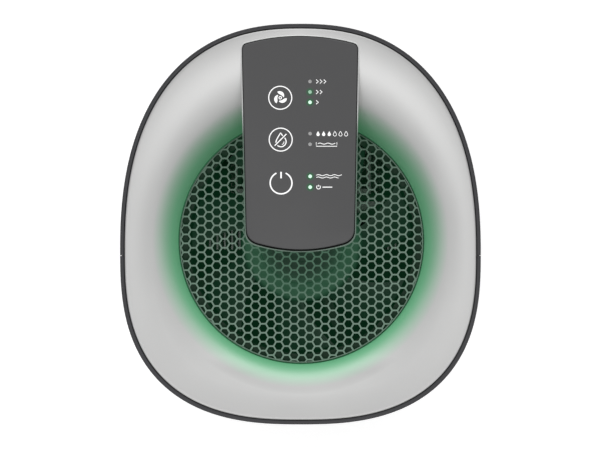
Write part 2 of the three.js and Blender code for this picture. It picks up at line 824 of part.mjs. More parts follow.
const grip = (grow) =>
  box([-GRIP_HALF - grow, GRIP_HALF + grow], [GRIP_BACK - grow, 200], [GRIP_LOW - grow, GRIP_TOP + grow]);
const fasciaSlab = cut(form(0, SHELL_LOW + 0.3, BAY_TOP - 0.5), form(WALL, SHELL_LOW - 1, BAY_TOP + 1))
  .intersect(box([-BAY_HALF + 0.4, BAY_HALF - 0.4], [0, 200], WIDE));
let fascia = fasciaSlab.add(grip(GRIP_WALL).intersect(form(0.2, 50, 118)));
fascia = cut(
  fascia,
  grip(0),
  bar("x", 2.3, -60, 60, [HANDLE_Y, HANDLE_Z], 12),
  bar("y", 7.4, 90, 120, [0, DRAIN_Z], 20),
);
add("tank_fascia", fascia, charcoal);

const lidTop = TANK_TOP + GAP + 2;
let lid = cut(tankBlock(TANK_INSET, TANK_HALF, TANK_TOP + GAP, lidTop), notch(0));
const lip = cut(
  tankBlock(TANK_INSET + TANK_WALL + 0.4, TANK_HALF - TANK_WALL - 0.4, TANK_TOP - 4, TANK_TOP + 1),
  tankBlock(TANK_INSET + TANK_WALL + 2.2, TANK_HALF - TANK_WALL - 2.2, TANK_TOP - 5, TANK_TOP + GAP + 0.1),
  notch(TANK_WALL + 0.4),
);
lid = cut(lid.add(lip), bar("z", 10, 90, 130, [0, INLET_Y], 24));
add("tank_lid", lid, smoke);

const HANDLE_HALF = 44.5;
add("tank_handle", united(
  box([-HANDLE_HALF, -HANDLE_HALF + 5], [HANDLE_Y - 2.5, HANDLE_Y + 2.5], [76, HANDLE_Z + 2.5]),
  box([HANDLE_HALF - 5, HANDLE_HALF], [HANDLE_Y - 2.5, HANDLE_Y + 2.5], [76, HANDLE_Z + 2.5]),
  box([-HANDLE_HALF, HANDLE_HALF], [HANDLE_Y - 2.5, HANDLE_Y + 2.5], [76, 82]),
  bar("x", 2, -49.2, 49.2, [HANDLE_Y, HANDLE_Z], 12).subtract(
    box([-HANDLE_HALF + 4, HANDLE_HALF - 4], WIDE, [0, 200]),
  ),
), charcoal);

// The float swings in its own plane: the arm leaves its pivot backwards and droops when empty.
const floatGroup = new THREE.Group();
floatGroup.position.set(FLOAT_X, FLOAT_Y, FLOAT_Z);
floatGroup.rotation.x = -FLOAT_DROOP;
root.add(floatGroup);
add("float_arm", united(
  bar("x", 2, -EAR_OFFSET - 1, EAR_OFFSET + 1, [0, 0], 12),
  bar("x", 3.4, -EAR_OFFSET + 2, EAR_OFFSET - 2, [0, 0], 12),
  box([-3, 3], [0, 28], [-1.5, 1.5]),
), white, floatGroup);
add("float_block", cut(
  box([-11, 11], [28.3, 54], [-9, 7]),
  bar("z", 3.3, 2, 20, [0, 41], 16),
), foam, floatGroup);
add("float_magnet", bar("z", 3, 2.3, 7, [0, 41], 16), steel, floatGroup);

add("drain_plug", united(
  bar("y", 7, 103.2, 106, [0, DRAIN_Z], 20),
  bar("y", 4.2, 98.5, 104, [0, DRAIN_Z], 16),
  box([-1.2, 1.2], [105, 108], [DRAIN_Z - 5, DRAIN_Z + 5]),
), rubber);

// ---------------------------------------------------------------------------------------------
// Filter door: louvred cover with the filter clipped behind it
// ---------------------------------------------------------------------------------------------
const doorBox = box([-DOOR_HALF + 0.4, DOOR_HALF - 0.4], [0, 200], [DOOR_LOW + 0.4, DOOR_TOP - 1.2]);
let door = wall.intersect(doorBox);
for (let i = 0; i < LOUVRE_COUNT; i += 1) {
  const z = 151 + i * 9;
  door = cut(door, box([-44, 44], [50, 200], [z, z + 5]));
}
add("filter_door", door, charcoal);

const filterHalf = 50;
const filterZ = [145, 225];
add("filter_frame", cut(
  box([-filterHalf, filterHalf], [76, 93.4], filterZ),
  box([-filterHalf + 2, filterHalf - 2], [70, 100], [filterZ[0] + 2, filterZ[1] - 2]),
), white);

// Pleated paper: a zigzag sheet that runs up the frame.
const PLEATS = 16;
const pleatPitch = (2 * (filterHalf - 3)) / PLEATS;
const fold = (offset) =>
  Array.from({ length: 2 * PLEATS + 1 }, (_, i) => [
    -filterHalf + 3 + (i * pleatPitch) / 2,
    (i % 2 ? 91 : 79) + offset,
  ]);
const pleatLine = [...fold(-0.6), ...fold(0.6).reverse()];
add("filter_pleats", solid(
  extruded(
    new THREE.Shape(pleatLine.map(([x, y]) => new THREE.Vector2(x, y))),
    filterZ[0] + 2.5,
    filterZ[1] - 2.5,
  ),
), paper);
add("filter_seal", cut(
  box([-filterHalf, filterHalf], [73.5, 75.7], filterZ),
  box([-filterHalf + 5, filterHalf - 5], [70, 80], [filterZ[0] + 5, filterZ[1] - 5]),
), foam);

export default root;
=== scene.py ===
import math

import bmesh
import bpy
from mathutils import Matrix, Vector


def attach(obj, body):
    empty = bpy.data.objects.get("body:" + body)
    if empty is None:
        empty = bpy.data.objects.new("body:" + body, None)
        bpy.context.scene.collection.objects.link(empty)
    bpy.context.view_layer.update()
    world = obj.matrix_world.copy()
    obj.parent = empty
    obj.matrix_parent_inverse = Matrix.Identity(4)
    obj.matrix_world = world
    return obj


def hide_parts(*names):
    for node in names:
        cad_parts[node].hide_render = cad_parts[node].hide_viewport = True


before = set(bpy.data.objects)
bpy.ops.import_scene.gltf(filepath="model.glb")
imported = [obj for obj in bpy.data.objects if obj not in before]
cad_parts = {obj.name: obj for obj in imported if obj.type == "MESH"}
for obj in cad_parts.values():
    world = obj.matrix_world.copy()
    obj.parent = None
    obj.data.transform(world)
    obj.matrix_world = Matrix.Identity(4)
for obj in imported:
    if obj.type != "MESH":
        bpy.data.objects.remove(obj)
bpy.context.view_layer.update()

# ======== CAMERA, FLOOR AND LIGHT ========
# The machine is seen from above, its front edge at the bottom. The camera stands a little to the
# right and shifts back. The floor is plain white, with one large soft light high in front, one low
# at the back and a small one over the front edge.
lens_height = 3.0
picture_width = 0.3323
picture_centre = (-0.0002, 0.0002)
lens_aside = 0.06
rim_height = 0.299
camera = bpy.data.objects.new("camera", bpy.data.cameras.new("camera"))
camera.location = (picture_centre[0] + lens_aside, picture_centre[1], rim_height + lens_height)
camera.data.sensor_width = 36
camera.data.lens = 36 * lens_height / picture_width
camera.data.shift_x = -lens_aside / picture_width
bpy.context.scene.collection.objects.link(camera)
bpy.context.scene.camera = camera


def tone(code):
    """A colour as a maker's chart gives it, turned into light values."""
    parts = [int(code[i : i + 2], 16) / 255 for i in (0, 2, 4)]
    return tuple(p / 12.92 if p < 0.04045 else ((p + 0.055) / 1.055) ** 2.4 for p in parts)


class Wire:
    """A socket among a piece's nodes, so that sums on it read as sums."""

    def __init__(self, board, socket):
        self.board, self.socket = board, socket

    def sum(self, operation, first, second):
        return self.board.node("Math", {"operation": operation}, {0: first, 1: second})

    def held(self):
        """Kept between 0 and 1."""
        return self.board.node("Clamp", {}, {0: self})

    def floor(self):
        return self.sum("FLOOR", self, 0)


def sign(operation, swapped=False):
    """The method behind one arithmetic sign, or behind the same sign with its sides swapped."""
    if swapped:
        return lambda wire, other: wire.sum(operation, other, wire)
    return lambda wire, other: wire.sum(operation, wire, other)


Wire.__add__ = Wire.__radd__ = sign("ADD")
Wire.__mul__ = Wire.__rmul__ = sign("MULTIPLY")
Wire.__sub__, Wire.__rsub__ = sign("SUBTRACT"), sign("SUBTRACT", swapped=True)
Wire.__truediv__, Wire.__pow__ = sign("DIVIDE"), sign("POWER")
Wire.__mod__, Wire.__gt__ = sign("FLOORED_MODULO"), sign("GREATER_THAN")


class Board:
    """A tree of nodes, and the one way to put a node in it."""

    def __init__(self, tree):
        self.tree = tree

    def node(self, kind, settings, values, output=0):
        whole = kind.startswith(("Geometry", "Node"))
        made = self.tree.nodes.new(kind if whole else "ShaderNode" + kind)
        for name, value in settings.items():
            setattr(made, name, value)
        for key, value in values.items():
            self.feed(made.inputs[key], value)
        return Wire(self, made.outputs[output]) if made.outputs else made

    def vector(self, operation, first, second=None):
        """A sum on whole vectors; a length or a dot product comes out as one number."""
        output = "Value" if operation in ("LENGTH", "DOT_PRODUCT") else "Vector"
        return self.node("VectorMath", {"operation": operation}, {0: first, 1: second}, output)

    def feed(self, socket, value):
        if isinstance(value, Wire):
            self.tree.links.new(value.socket, socket)
        elif value is not None:
            wants = getattr(socket, "default_value", None)
            if hasattr(wants, "__len__") and len(wants) == 4 and len(value) == 3:
                value = (*value, 1)
            socket.default_value = value


class Finish(Board):
    """A surface finish: one material, its shader, and the nodes that vary it."""

    def __init__(self, name, color, roughness, **constants):
        self.material = bpy.data.materials.new(name)
        self.material.use_nodes = True
        super().__init__(self.material.node_tree)
        self.shader = self.tree.nodes["Principled BSDF"]
        self.set(Base_Color=color, Roughness=roughness, **constants)

    def set(self, **values):
        for name, value in values.items():
            self.feed(self.shader.inputs[name.replace("_", " ")], value)

    def place(self, scale=(1, 1, 1), centre=(0, 0, 0)):
        """A spot on the piece, counted from a centre and stretched by a scale."""
        point = self.node("TexCoord", {}, {}, "Object")
        values = {"Vector": point, "Location": centre}
        moved = self.node("Mapping", {"vector_type": "TEXTURE"}, values)
        return self.vector("MULTIPLY", moved, scale)

    def off_axle(self):
        """How far a spot is from the fan's axle, as seen from above."""
        spot = self.place(centre=(0, outlet_y / 1000, 0))
        return self.vector("LENGTH", self.vector("MULTIPLY", spot, (1, 1, 0)))

    def along(self, axis, spot=None):
        return self.node("SeparateXYZ", {}, {0: spot or self.place()}, axis)

    def noise(self, scale, detail=2.0, where=None):
        values = {"Vector": where or self.place(), "Scale": scale, "Detail": detail}
        return self.node("TexNoise", {}, values, "Fac")

    def mix(self, share, first, second):
        return self.node("Mix", {"data_type": "RGBA"}, {0: share, 6: first, 7: second}, 2)

    def base(self):
        """What gives the base colour so far."""
        return Wire(self, self.shader.inputs["Base Color"].links[0].from_socket)

    def bump(self, height, depth, strength=1.0):
        values = {"Height": height, "Distance": depth, "Strength": strength}
        self.set(Normal=self.node("Bump", {}, values))
        return self


def moulded(name, color, roughness, grain=1900, depth=0.00006, drift=0.06, **constants):
    """Moulded plastic with the fine grain of an eroded tool."""
    finish = Finish(name, color, roughness, **constants)
    fine = finish.noise(grain, 3.0)
    broad = finish.noise(38, 2.0)
    darker = tuple(c * (1 - drift) for c in color)
    lighter = tuple(min(1, c * (1 + drift)) for c in color)
    finish.set(Base_Color=finish.mix(broad * 0.5 + fine * 0.5, darker, lighter))
    finish.set(Roughness=(broad - 0.5) * 0.12 + fine * 0.08 + (roughness - 0.04))
    return finish.bump(fine, depth, 0.5)


floor_finish = moulded("floor_paper", (0.93, 0.93, 0.93), 0.9, grain=400, drift=0.004)
floor_finish.set(Emission_Color=(1, 1, 1), Emission_Strength=0.37)
bpy.ops.mesh.primitive_plane_add(size=6)
floor = bpy.context.object
floor.name = "floor"
floor.data.materials.append(floor_finish.material)

world = bpy.data.worlds.new("studio")
world.use_nodes = True
room = world.node_tree.nodes["Background"].inputs
room["Color"].default_value = (1, 1, 1, 1)
room["Strength"].default_value = 0.7
bpy.context.scene.world = world
bpy.context.scene.view_settings.view_transform = "Standard"


def soft_light(name, place, aim, size, power):
    data = bpy.data.lights.new(name, "AREA")
    data.shape = "RECTANGLE"
    data.size, data.size_y = size
    data.energy = power
    lamp = bpy.data.objects.new(name, data)
    lamp.location = place
    lamp.rotation_euler = (Vector(place) - Vector(aim)).to_track_quat("Z", "Y").to_euler()
    lamp.visible_camera = False
    bpy.context.scene.collection.objects.link(lamp)


soft_light("high_light", (0, -1.1, 2.5), (0, 0, 0.25), (2.4, 0.9), 13)
soft_light("back_light", (0, 2.2, 1.2), (0, 0, 0.25), (3.0, 1.6), 34)
soft_light("near_light", (-0.15, -0.28, 1.1), (0, 0, 0.3), (0.4, 0.4), 0.45)

# ======== CABINET FORM ========
# The cabinet is drawn from one rule: a rounded plan, longer behind its side seams than in front,
# that tapers down from the rim and tucks in at the floor. From here on, sizes are in millimetres.
outlet_y = -9
seam_y = -17
half_width = 100
plan = {"rear": (128, 2.41), "front": (94, 2.6)}
rim_tilt = math.radians(6)
rim_middle = 299
wall = 2.2
gap = 0.3
plan_angles = [2 * math.pi * i / 200 for i in range(200)]
taper, taper_top = 6, 280
tuck_top = 15


def plan_point(angle, inset):
    """Where the wall stands at an angle round the seam line, stepped inwards by an inset."""
    c, s = math.cos(angle), math.sin(angle)
    depth, power = plan["rear" if s >= 0 else "front"]
    x = (half_width - inset) * math.copysign(abs(c) ** (2 / power), c)
    y = seam_y + (depth - inset) * math.copysign(abs(s) ** (2 / power), s)
    return x, y


def form_inset(z):
    return taper * max(0, 1 - z / taper_top) + 0.05 * max(0, tuck_top - z) ** 2


def rim_z(y):
    return rim_middle + y * math.tan(rim_tilt)


def mesh_piece(name, points, faces, finish, crease=32):
    """A closed piece from points in millimetres, smooth except over its edges."""
    mesh = bpy.data.meshes.new(name)
    mesh.from_pydata([[c / 1000 for c in p] for p in points], [], faces)
    piece = bpy.data.objects.new(name, mesh)
    bpy.context.scene.collection.objects.link(piece)
    work = bmesh.new()
    work.from_mesh(mesh)
    bmesh.ops.remove_doubles(work, verts=work.verts, dist=1e-7)
    bmesh.ops.recalc_face_normals(work, faces=work.faces)
    work.to_mesh(mesh)
    work.free()
    mesh.materials.append(finish.material)
    return soften(piece, crease)


def soften(piece, crease=32):
    """Smooth shading, with every edge sharper than the crease left sharp."""
    piece.data.shade_smooth()
    piece.data.set_sharp_from_angle(angle=math.radians(crease))
    return piece


def loop_body(loops, endless=False):
    """Points and faces of a body through loops of one count, with its ends closed."""
    count = len(loops[0])
    points = [p for loop in loops for p in loop]
    faces = []
    for a in range(len(loops) - (0 if endless else 1)):
        b = (a + 1) % len(loops)
        for i in range(count):
            j = (i + 1) % count
            faces.append((a * count + i, a * count + j, b * count + j, b * count + i))
    if not endless:
        faces.append(tuple(reversed(range(count))))
        faces.append(tuple(range((len(loops) - 1) * count, len(loops) * count)))
    return points, faces


def lofted(name, loops, finish, crease=32, endless=False):
    """A piece drawn through loops of one count."""
    return mesh_piece(name, *loop_body(loops, endless), finish, crease)


def plan_ring(z, inset):
    """The cabinet's plan at one level, stepped inwards from the wall by an inset."""
    return [(*plan_point(a, form_inset(z) + inset), z) for a in plan_angles]


def carved(piece, *tools, how="DIFFERENCE"):
    """The piece after each tool is cut from it, joined to it, or kept in common with it."""
    for tool in tools:
        step = piece.modifiers.new("cut", "BOOLEAN")
        step.operation = how
        step.solver = "EXACT"
        step.object = tool
        settle(piece)
        bpy.data.objects.remove(tool)
    return soften(piece)


def settle(piece):
    """Turns the piece's modifiers into plain mesh."""
    bpy.context.view_layer.update()
    graph = bpy.context.evaluated_depsgraph_get()
    finished = bpy.data.meshes.new_from_object(piece.evaluated_get(graph))
    piece.modifiers.clear()
    piece.data = finished
    return piece


def rounded_plate(x, z, y, radius, finish, steps=6):
    """A tool or body with round corners in the XZ plane, running along Y."""
    corners = [(x[1], z[1], 0), (x[0], z[1], 90), (x[0], z[0], 180), (x[1], z[0], 270)]
    line = []
    for cx, cz, start in corners:
        mx = cx - math.copysign(radius, cx - (x[0] + x[1]) / 2)
        mz = cz - math.copysign(radius, cz - (z[0] + z[1]) / 2)
        for i in range(steps + 1):
            a = math.radians(start + 90 * i / steps)
            line.append((mx + radius * math.cos(a), mz + radius * math.sin(a)))
    return lofted("tool", [[(px, py, pz) for px, pz in line] for py in y], finish)


def block(x, y, z, finish):
    """A plain box, used as a tool."""
    corners = [(x[0], y[0]), (x[1], y[0]), (x[1], y[1]), (x[0], y[1])]
    return lofted("tool", [[(*c, w) for c in corners] for w in z], finish)


def turns(steps):
    """The cosine and sine of even steps round a circle."""
    angles = [2 * math.pi * i / steps for i in range(steps)]
    return [(math.cos(a), math.sin(a)) for a in angles]


def rod(axis, radius, ends, place, finish, steps=32, name="tool"):
    """A round bar along one axis; place gives its other two coordinates in X, Y, Z order."""
    at = "xyz".index(axis)
    ring = [(place[0] + radius * c, place[1] + radius * s) for c, s in turns(steps)]
    loops = [[(*point[:at], end, *point[at:]) for point in ring] for end in ends]
    return lofted(name, loops, finish)


def turned(name, profile, finish, centre=(0, 0), steps=64, crease=32):
    """A turned piece: a closed profile of (radius, height) spun about Z."""
    x, y = centre
    loops = [[(x + r * c, y + r * s, z) for r, z in profile] for c, s in turns(steps)]
    return lofted(name, loops, finish, crease, endless=True)


def fit(piece, body, slot, *nodes):
    """Fixes a piece to its body and hides the CAD nodes it stands for; the slot is not used."""
    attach(piece, body)
    if nodes:
        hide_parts(*nodes)
    return piece


# ======== BASE PLATE, FEET AND BASE SCREWS ========
# The base is a moulded pan that closes the cabinet from below; four screws go up through it into
# bosses in the shells. Each rubber foot is pressed into a round pocket.
charcoal = moulded("charcoal_shell", tone("2e2e31"), 0.5)
charcoal.set(Specular_IOR_Level=0.4)
rubber = moulded("foot_rubber", tone("161617"), 0.85, grain=1200)
zinc = Finish("zinc_screw", tone("a6a8ab"), 0.35, Metallic=1.0)
zinc.set(Roughness=zinc.noise(900) * 0.25 + 0.22)
zinc.bump(zinc.noise(2500), 0.00003, 0.4)


def dress(finish, *nodes):
    """Gives CAD nodes a finish."""
    for node in nodes:
        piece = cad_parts[node]
        for slot in piece.material_slots:
            slot.material = finish.material
        if not piece.material_slots:
            piece.data.materials.append(finish.material)


base_edge = [
    (4, 1.2), (4.15, 0.5), (4.7, 0.05), (5.5, 0), (6.5, 0), (7.5, 0), (8.6, 0), (9, 0.4),
]
base_rings = [plan_ring(z, 0.4 + extra) for z, extra in base_edge]
base = lofted("base_plate_fine", base_rings, charcoal)
base_screws = [(x, y) for x in (-78.5, 78.5) for y in (-45, 15)]
feet = {
    "front_left": (-52, -66), "front_right": (52, -66),
    "rear_left": (-56, 58), "rear_right": (56, 58),
}
for x, y in base_screws:
    base = carved(base, rod("z", 3.3, (3, 6), (x, y), charcoal, 24))
    base = carved(base, rod("z", 1.9, (3, 12), (x, y), charcoal, 16))
for x, y in feet.values():
    base = carved(base, rod("z", 10.5, (3, 6), (x, y), charcoal, 40))
fit(base, "cabinet", "charcoal_plastic", "base_plate")

foot_profile = [
    (0.01, 0.6), (3.4, 0.6), (3.8, 0), (7.4, 0), (8.3, 0.2), (9, 0.8), (9.8, 3), (10, 5),
    (9.9, 5.6), (0.01, 5.7),
]
for name, centre in feet.items():
    foot = turned(f"foot_{name}_fine", foot_profile, rubber, centre, 48)
    fit(foot, "cabinet", "foot_rubber", f"foot_{name}")


def cross_screw(node, matrix, length, size):
    """A pan-head screw with a cross recess, its head's underside at the origin, head down."""
    thread = 0.9
    profile = [(0.01, -1.8), (1.5, -1.75), (2.3, -1.4), (2.75, -0.8), (2.8, -0.1), (2.7, 0)]
    profile += [(1.3, 0)]
    for turn in range(int(length / thread) - 1):
        profile += [(1.3, 0.5 + turn * thread), (1.02, 0.95 + turn * thread)]
    profile += [(1.0, length - 1.2), (0.01, length)]
    screw = turned(f"{node}_fine", [(r * size, z) for r, z in profile], zinc, steps=20)
    long_way, short_way = ((-h * size, h * size) for h in (1.5, 0.25))
    for x, y in ((long_way, short_way), (short_way, long_way)):
        carved(screw, block(x, y, (-3, -1.0), zinc))
    screw.data.transform(matrix)
    fit(screw, "cabinet", "steel", node)


def shift(x, y, z):
    return Matrix.Translation((x / 1000, y / 1000, z / 1000))


for (x, y), name in zip(base_screws, ["front_left", "rear_left", "front_right", "rear_right"]):
    cross_screw(f"base_screw_{name}", shift(x, y, 5.7), 18, 1)

# ======== FRONT AND REAR SHELLS ========
# Two charcoal ABS shells meet at a vertical seam on each side. The rear one has the tank bay, the
# filter opening and the socket's hole; the front one has the slot of the level window.
shell_low = 9.3
tuck_levels = [10.6, 11.8, 13.2, 15]


def shell_loop(side, share):
    """The wall's closed section at a share of the way from one side seam to the other."""
    levels = [shell_low, 9.8, *tuck_levels, 40, 80, 120, 160, 200, 240, 270]
    outer = [(form_inset(z), z, 0) for z in levels]
    lip = [(0, None, -0.7), (0.05, None, -0.38), (0.2, None, -0.14), (0.5, None, 0)]
    lip += [(1.7, None, 0), (2.0, None, -0.12), (wall, None, -0.45)]
    inner = [(form_inset(z) + wall, z, 0) for z in (270, 200, 120, 40, 15, 12, shell_low)]
    depth, power = plan["rear" if side > 0 else "front"]
    section = []
    for inset, z, drop in outer + lip + inner:
        start = math.asin((gap / 2 / (depth - inset)) ** (power / 2))
        x, y = plan_point(side * (start + (math.pi - 2 * start) * share), inset)
        section.append((x, y, rim_z(y) + drop if z is None else z))
    return section


def shell(name, side):
    """Half of the wall: side is 1 behind the seam and -1 in front of it."""
    return lofted(name, [shell_loop(side, i / 150) for i in range(151)], charcoal)


window_slot = rounded_plate((-5, 5), (30, 100), (-130, -60), 4.99, charcoal, 10)
tank_bay = rounded_plate((-76, 76), (-20, 119.5), (0, 200), 5, charcoal)
filter_opening = rounded_plate((-56, 56), (139, 233), (0, 200), 4, charcoal)
socket_hole = rod("y", 6.4, (60, 140), (-30, 129.5), charcoal, 48)
front_shell = carved(shell("front_shell_fine", -1), window_slot)
rear_shell = carved(shell("rear_shell_fine", 1), tank_bay, filter_opening, socket_hole)
fit(front_shell, "cabinet", "charcoal_plastic", "front_shell")
fit(rear_shell, "cabinet", "charcoal_plastic", "rear_shell")

# A tongue closes each seam behind its outer half, so that no light comes through.
tongue_half = 0.28
tongue_low, tongue_high = 14, rim_z(seam_y) - 1.2
for side, name in ((1, "right"), (-1, "left")):
    tongue_loops = []
    for i in range(24):
        z = tongue_low + (tongue_high - tongue_low) * i / 23
        outer_x, inner_x = (side * (half_width - form_inset(z) - deep) for deep in (1.0, 2.1))
        loop = [(outer_x, -1), (inner_x, -1), (inner_x, 1), (outer_x, 1)]
        loop = [(x, seam_y + way * tongue_half, z) for x, way in loop]
        tongue_loops.append(loop if side < 0 else loop[::-1])
    tongue = lofted(f"seam_tongue_{name}", tongue_loops, charcoal)
    fit(tongue, "cabinet", "charcoal_plastic")

# Bosses for the base screws, each tied to the wall by a rib.
for x, y in base_screws:
    side = math.copysign(1, x)
    boss = rod("z", 4.2, (9.5, 30), (x, y), charcoal, 32, "screw_boss")
    reach = 93.4 - 2.2 * (y < 0)
    loops = []
    for z in (13, 30):
        near_x, wall_x = side * 80, side * (reach - 5.4 + z * 0.02)
        line = [(near_x, y - 1), (wall_x, y - 1), (wall_x, y + 1), (near_x, y + 1)]
        loops.append([(*spot, z) for spot in line])
    carved(boss, lofted("tool", loops, charcoal), how="UNION")
    carved(boss, rod("z", 1.7, (0, 26), (x, y), charcoal, 16))
    fit(boss, "cabinet", "charcoal_plastic")

# ======== LEVEL WINDOW ========
# A clear polycarbonate strip clipped into the front shell. It shows how full the tank is.
window_finish = Finish("window_clear", tone("c9d2d6"), 0.12, IOR=1.58)
window_finish.set(Transmission_Weight=0.75)
window_finish.set(Roughness=window_finish.noise(120) * 0.12 + 0.04)


def wall_plate(name, z, inset, x, radius, finish, steps, y=(0, 200)):
    """A curved plate that follows the cabinet's wall between two levels."""
    side = 1 if y[1] > 0 else -1
    heights = [z[0] + (z[1] - z[0]) * i / 10 for i in range(11)]
    heights = sorted(set(heights + [h for h in tuck_levels if z[0] < h < z[1]]))
    loops = []
    for i in range(1, steps):
        angle = side * math.pi * i / steps
        loop = [(*plan_point(angle, form_inset(h) + inset[0]), h) for h in heights]
        loop += [(*plan_point(angle, form_inset(h) + inset[1]), h) for h in reversed(heights)]
        loops.append(loop)
    plate = lofted(name, loops, finish)
    return carved(plate, rounded_plate(x, z, y, radius, finish, 10), how="INTERSECT")


window = wall_plate(
    "level_window_fine", (30.3, 99.7), (0.15, 2.1), (-4.7, 4.7), 4.69, window_finish, 400, (-200, 0)
)
fit(window, "cabinet", "clear_plastic", "level_window")

# ======== INNER FRAME, COOLING STACK AND BOARDS ========
# A black moulded deck and bulkhead carry the cooling stack: hot fins in front, the ceramic module
# in a foam frame, and cold fins behind it over the white drip tray. Two screws clamp the stack.
nylon = moulded("black_nylon", tone("0a0d0b"), 0.75)
# Painted green light from the light ring: the frame by the fan and under the outlet is given a
# green glow.
by_fan = ((nylon.along("Z") - 0.232) / 0.016).held()
ahead_of_bay = ((0.04 - nylon.along("Y")) / 0.01).held()
under_outlet = ((0.076 - nylon.off_axle()) / 0.006).held() * ahead_of_bay
painted_green_light = nylon.mix((by_fan + under_outlet).held(), (0, 0, 0), tone("0f3a22"))
nylon.set(Emission_Color=painted_green_light, Emission_Strength=0.36)
bare_aluminium = Finish("extruded_aluminium", tone("6f7672"), 0.4, Metallic=0.8)
drawn = bare_aluminium.noise(1, 3.0, bare_aluminium.place((900, 900, 12)))
bare_aluminium.set(Roughness=drawn * 0.3 + 0.2)
bare_aluminium.set(Base_Color=bare_aluminium.mix(drawn, tone("5c635f"), tone("7d847f")))
bare_aluminium.bump(drawn, 0.00004, 0.5)
# The heat sinks are given a faint green glow: painted light from the light ring.
bare_aluminium.set(Emission_Color=tone("0b1f13"), Emission_Strength=0.8)
alumina = moulded("module_ceramic", tone("eeece4"), 0.6, grain=2600)
foam = moulded("closed_cell_foam", tone("242426"), 0.95, grain=900, depth=0.0004, drift=0.2)
polypropylene = moulded("white_polypropylene", tone("ecece9"), 0.42)
board_mask = moulded("green_board", tone("1d5a3c"), 0.35, grain=700, drift=0.15)
contact_bronze = Finish("spring_bronze", tone("b0763d"), 0.3, Metallic=1.0)
contact_bronze.set(Roughness=contact_bronze.noise(700) * 0.3 + 0.18)

dress(nylon, "inner_frame", "dc_socket", "full_tank_sensor")
dress(bare_aluminium, "hot_heat_sink", "cold_heat_sink")
dress(alumina, "peltier_module")
dress(foam, "insulation_pad")
dress(polypropylene, "drip_tray")
dress(board_mask, "power_board")
for node, x in (("sink_screw_left", -34.65), ("sink_screw_right", 34.65)):
    turn = shift(x, 20.7, 190) @ Matrix.Rotation(math.pi / 2, 4, "X")
    cross_screw(node, turn, 11, 0.85)

# ======== FAN ========
# A black seven-blade axial fan sits under the outlet. Its shroud hangs from four ears by screws,
# its motor stands on four struts, and its cup-shaped hub carries the magnet ring.
fan_black = moulded("fan_black", tone("0d1511"), 0.55, grain=2400)
# Painted green light from the light ring: the fan is given a green glow, brighter on the hub's
# face.
from_axle = fan_black.off_axle()
hub_face = ((from_axle - 0.017) / 0.009).held() * ((0.0343 - from_axle) / 0.003).held()
lit = fan_black.mix(hub_face, tone("102e1e"), tone("204e35"))
fan_black.set(Emission_Color=lit, Emission_Strength=0.8)
copper_wire = Finish("motor_copper", tone("a8653a"), 0.35, Metallic=1.0)
winding = copper_wire.noise(1, 2.0, copper_wire.place((200, 200, 2600)))
copper_wire.set(Roughness=winding * 0.3 + 0.2)
copper_wire.bump(winding, 0.0002, 0.8)
dress(nylon, "fan_shroud")
dress(copper_wire, "fan_motor")
dress(zinc, "fan_shaft", "rotor_magnet")

hub = turned(
    "fan_hub",
    [(0.01, 262), (2.3, 262), (2.3, 255.5), (5, 255.5), (5, 261.4), (31.6, 261.4), (31.6, 246),
     (34, 246), (34, 260.6), (33.7, 262), (32.9, 263.1), (31.6, 263.7), (29.5, 264), (24, 264),
     (23.6, 263.7), (12, 263.7), (11.6, 264), (0.01, 264)],
    fan_black, (0, outlet_y), 96,
)
fit(hub, "fan", "black_plastic", "fan_rotor")


def blade_mesh():
    """One blade: curved sections on cylinders of growing radius, flatter and swept to the tip."""
    root, tip, middle_z = 33, 61.5, 254.2
    upper = [-0.5, -0.47, -0.38, -0.2, 0, 0.2, 0.38, 0.47, 0.5]
    outline = [(u, 0.5) for u in upper] + [(u, -0.5) for u in reversed(upper[1:-1])]
    loops = []
    for share in [i / 12 for i in range(13)]:
        radius = root + (tip - root) * share
        pitch = math.radians(48 - 20 * share)
        chord = 23 + 10 * share
        thick = 2.4 - 1.2 * share
        sweep = 0.3 * share
        loop = []
        for u, side in outline:
            body = math.sqrt(max(0, 1 - 4 * u * u))
            a, b = u * chord, side * thick * body + 1.6 * (1 - 4 * u * u)
            along = a * math.cos(pitch) - b * math.sin(pitch)
            height = a * math.sin(pitch) + b * math.cos(pitch)
            angle = sweep + along / radius
            loop.append((radius * math.cos(angle), radius * math.sin(angle), middle_z + height))
        loops.append(loop)
    return lofted("fan_blades", loops, fan_black, crease=60)


class Pattern(Board):
    """A Geometry Nodes tree that repeats a shape, with named inputs for its sizes."""

    def __init__(self, name, **inputs):
        super().__init__(bpy.data.node_groups.new(name, "GeometryNodeTree"))
        faces = self.tree.interface
        kinds = {int: "NodeSocketInt", float: "NodeSocketFloat", tuple: "NodeSocketVector"}
        faces.new_socket("Geometry", in_out="INPUT", socket_type="NodeSocketGeometry")
        faces.new_socket("Geometry", in_out="OUTPUT", socket_type="NodeSocketGeometry")
        self.values = inputs
        self.keys = {}
        for label, value in inputs.items():
            kind = kinds[type(value)] if type(value) in kinds else "NodeSocketMaterial"
            made = faces.new_socket(label, in_out="INPUT", socket_type=kind)
            self.keys[label] = made.identifier
        self.entry = self.tree.nodes.new("NodeGroupInput")

    def given(self, label):
        return Wire(self, self.entry.outputs[label])

    def made_on(self, piece, shape):
        """Ends the tree, runs it on the piece and leaves plain mesh."""
        whole = self.node("GeometryNodeRealizeInstances", {}, {0: shape})
        values = {"Geometry": whole, "Material": self.given("Material")}
        coated = self.node("GeometryNodeSetMaterial", {}, values)
        self.node("NodeGroupOutput", {}, {0: coated})
        step = piece.modifiers.new("repeat", "NODES")
        step.node_group = self.tree
        for label, key in self.keys.items():
            step[key] = self.values[label]
        settle(piece)
        return soften(piece)


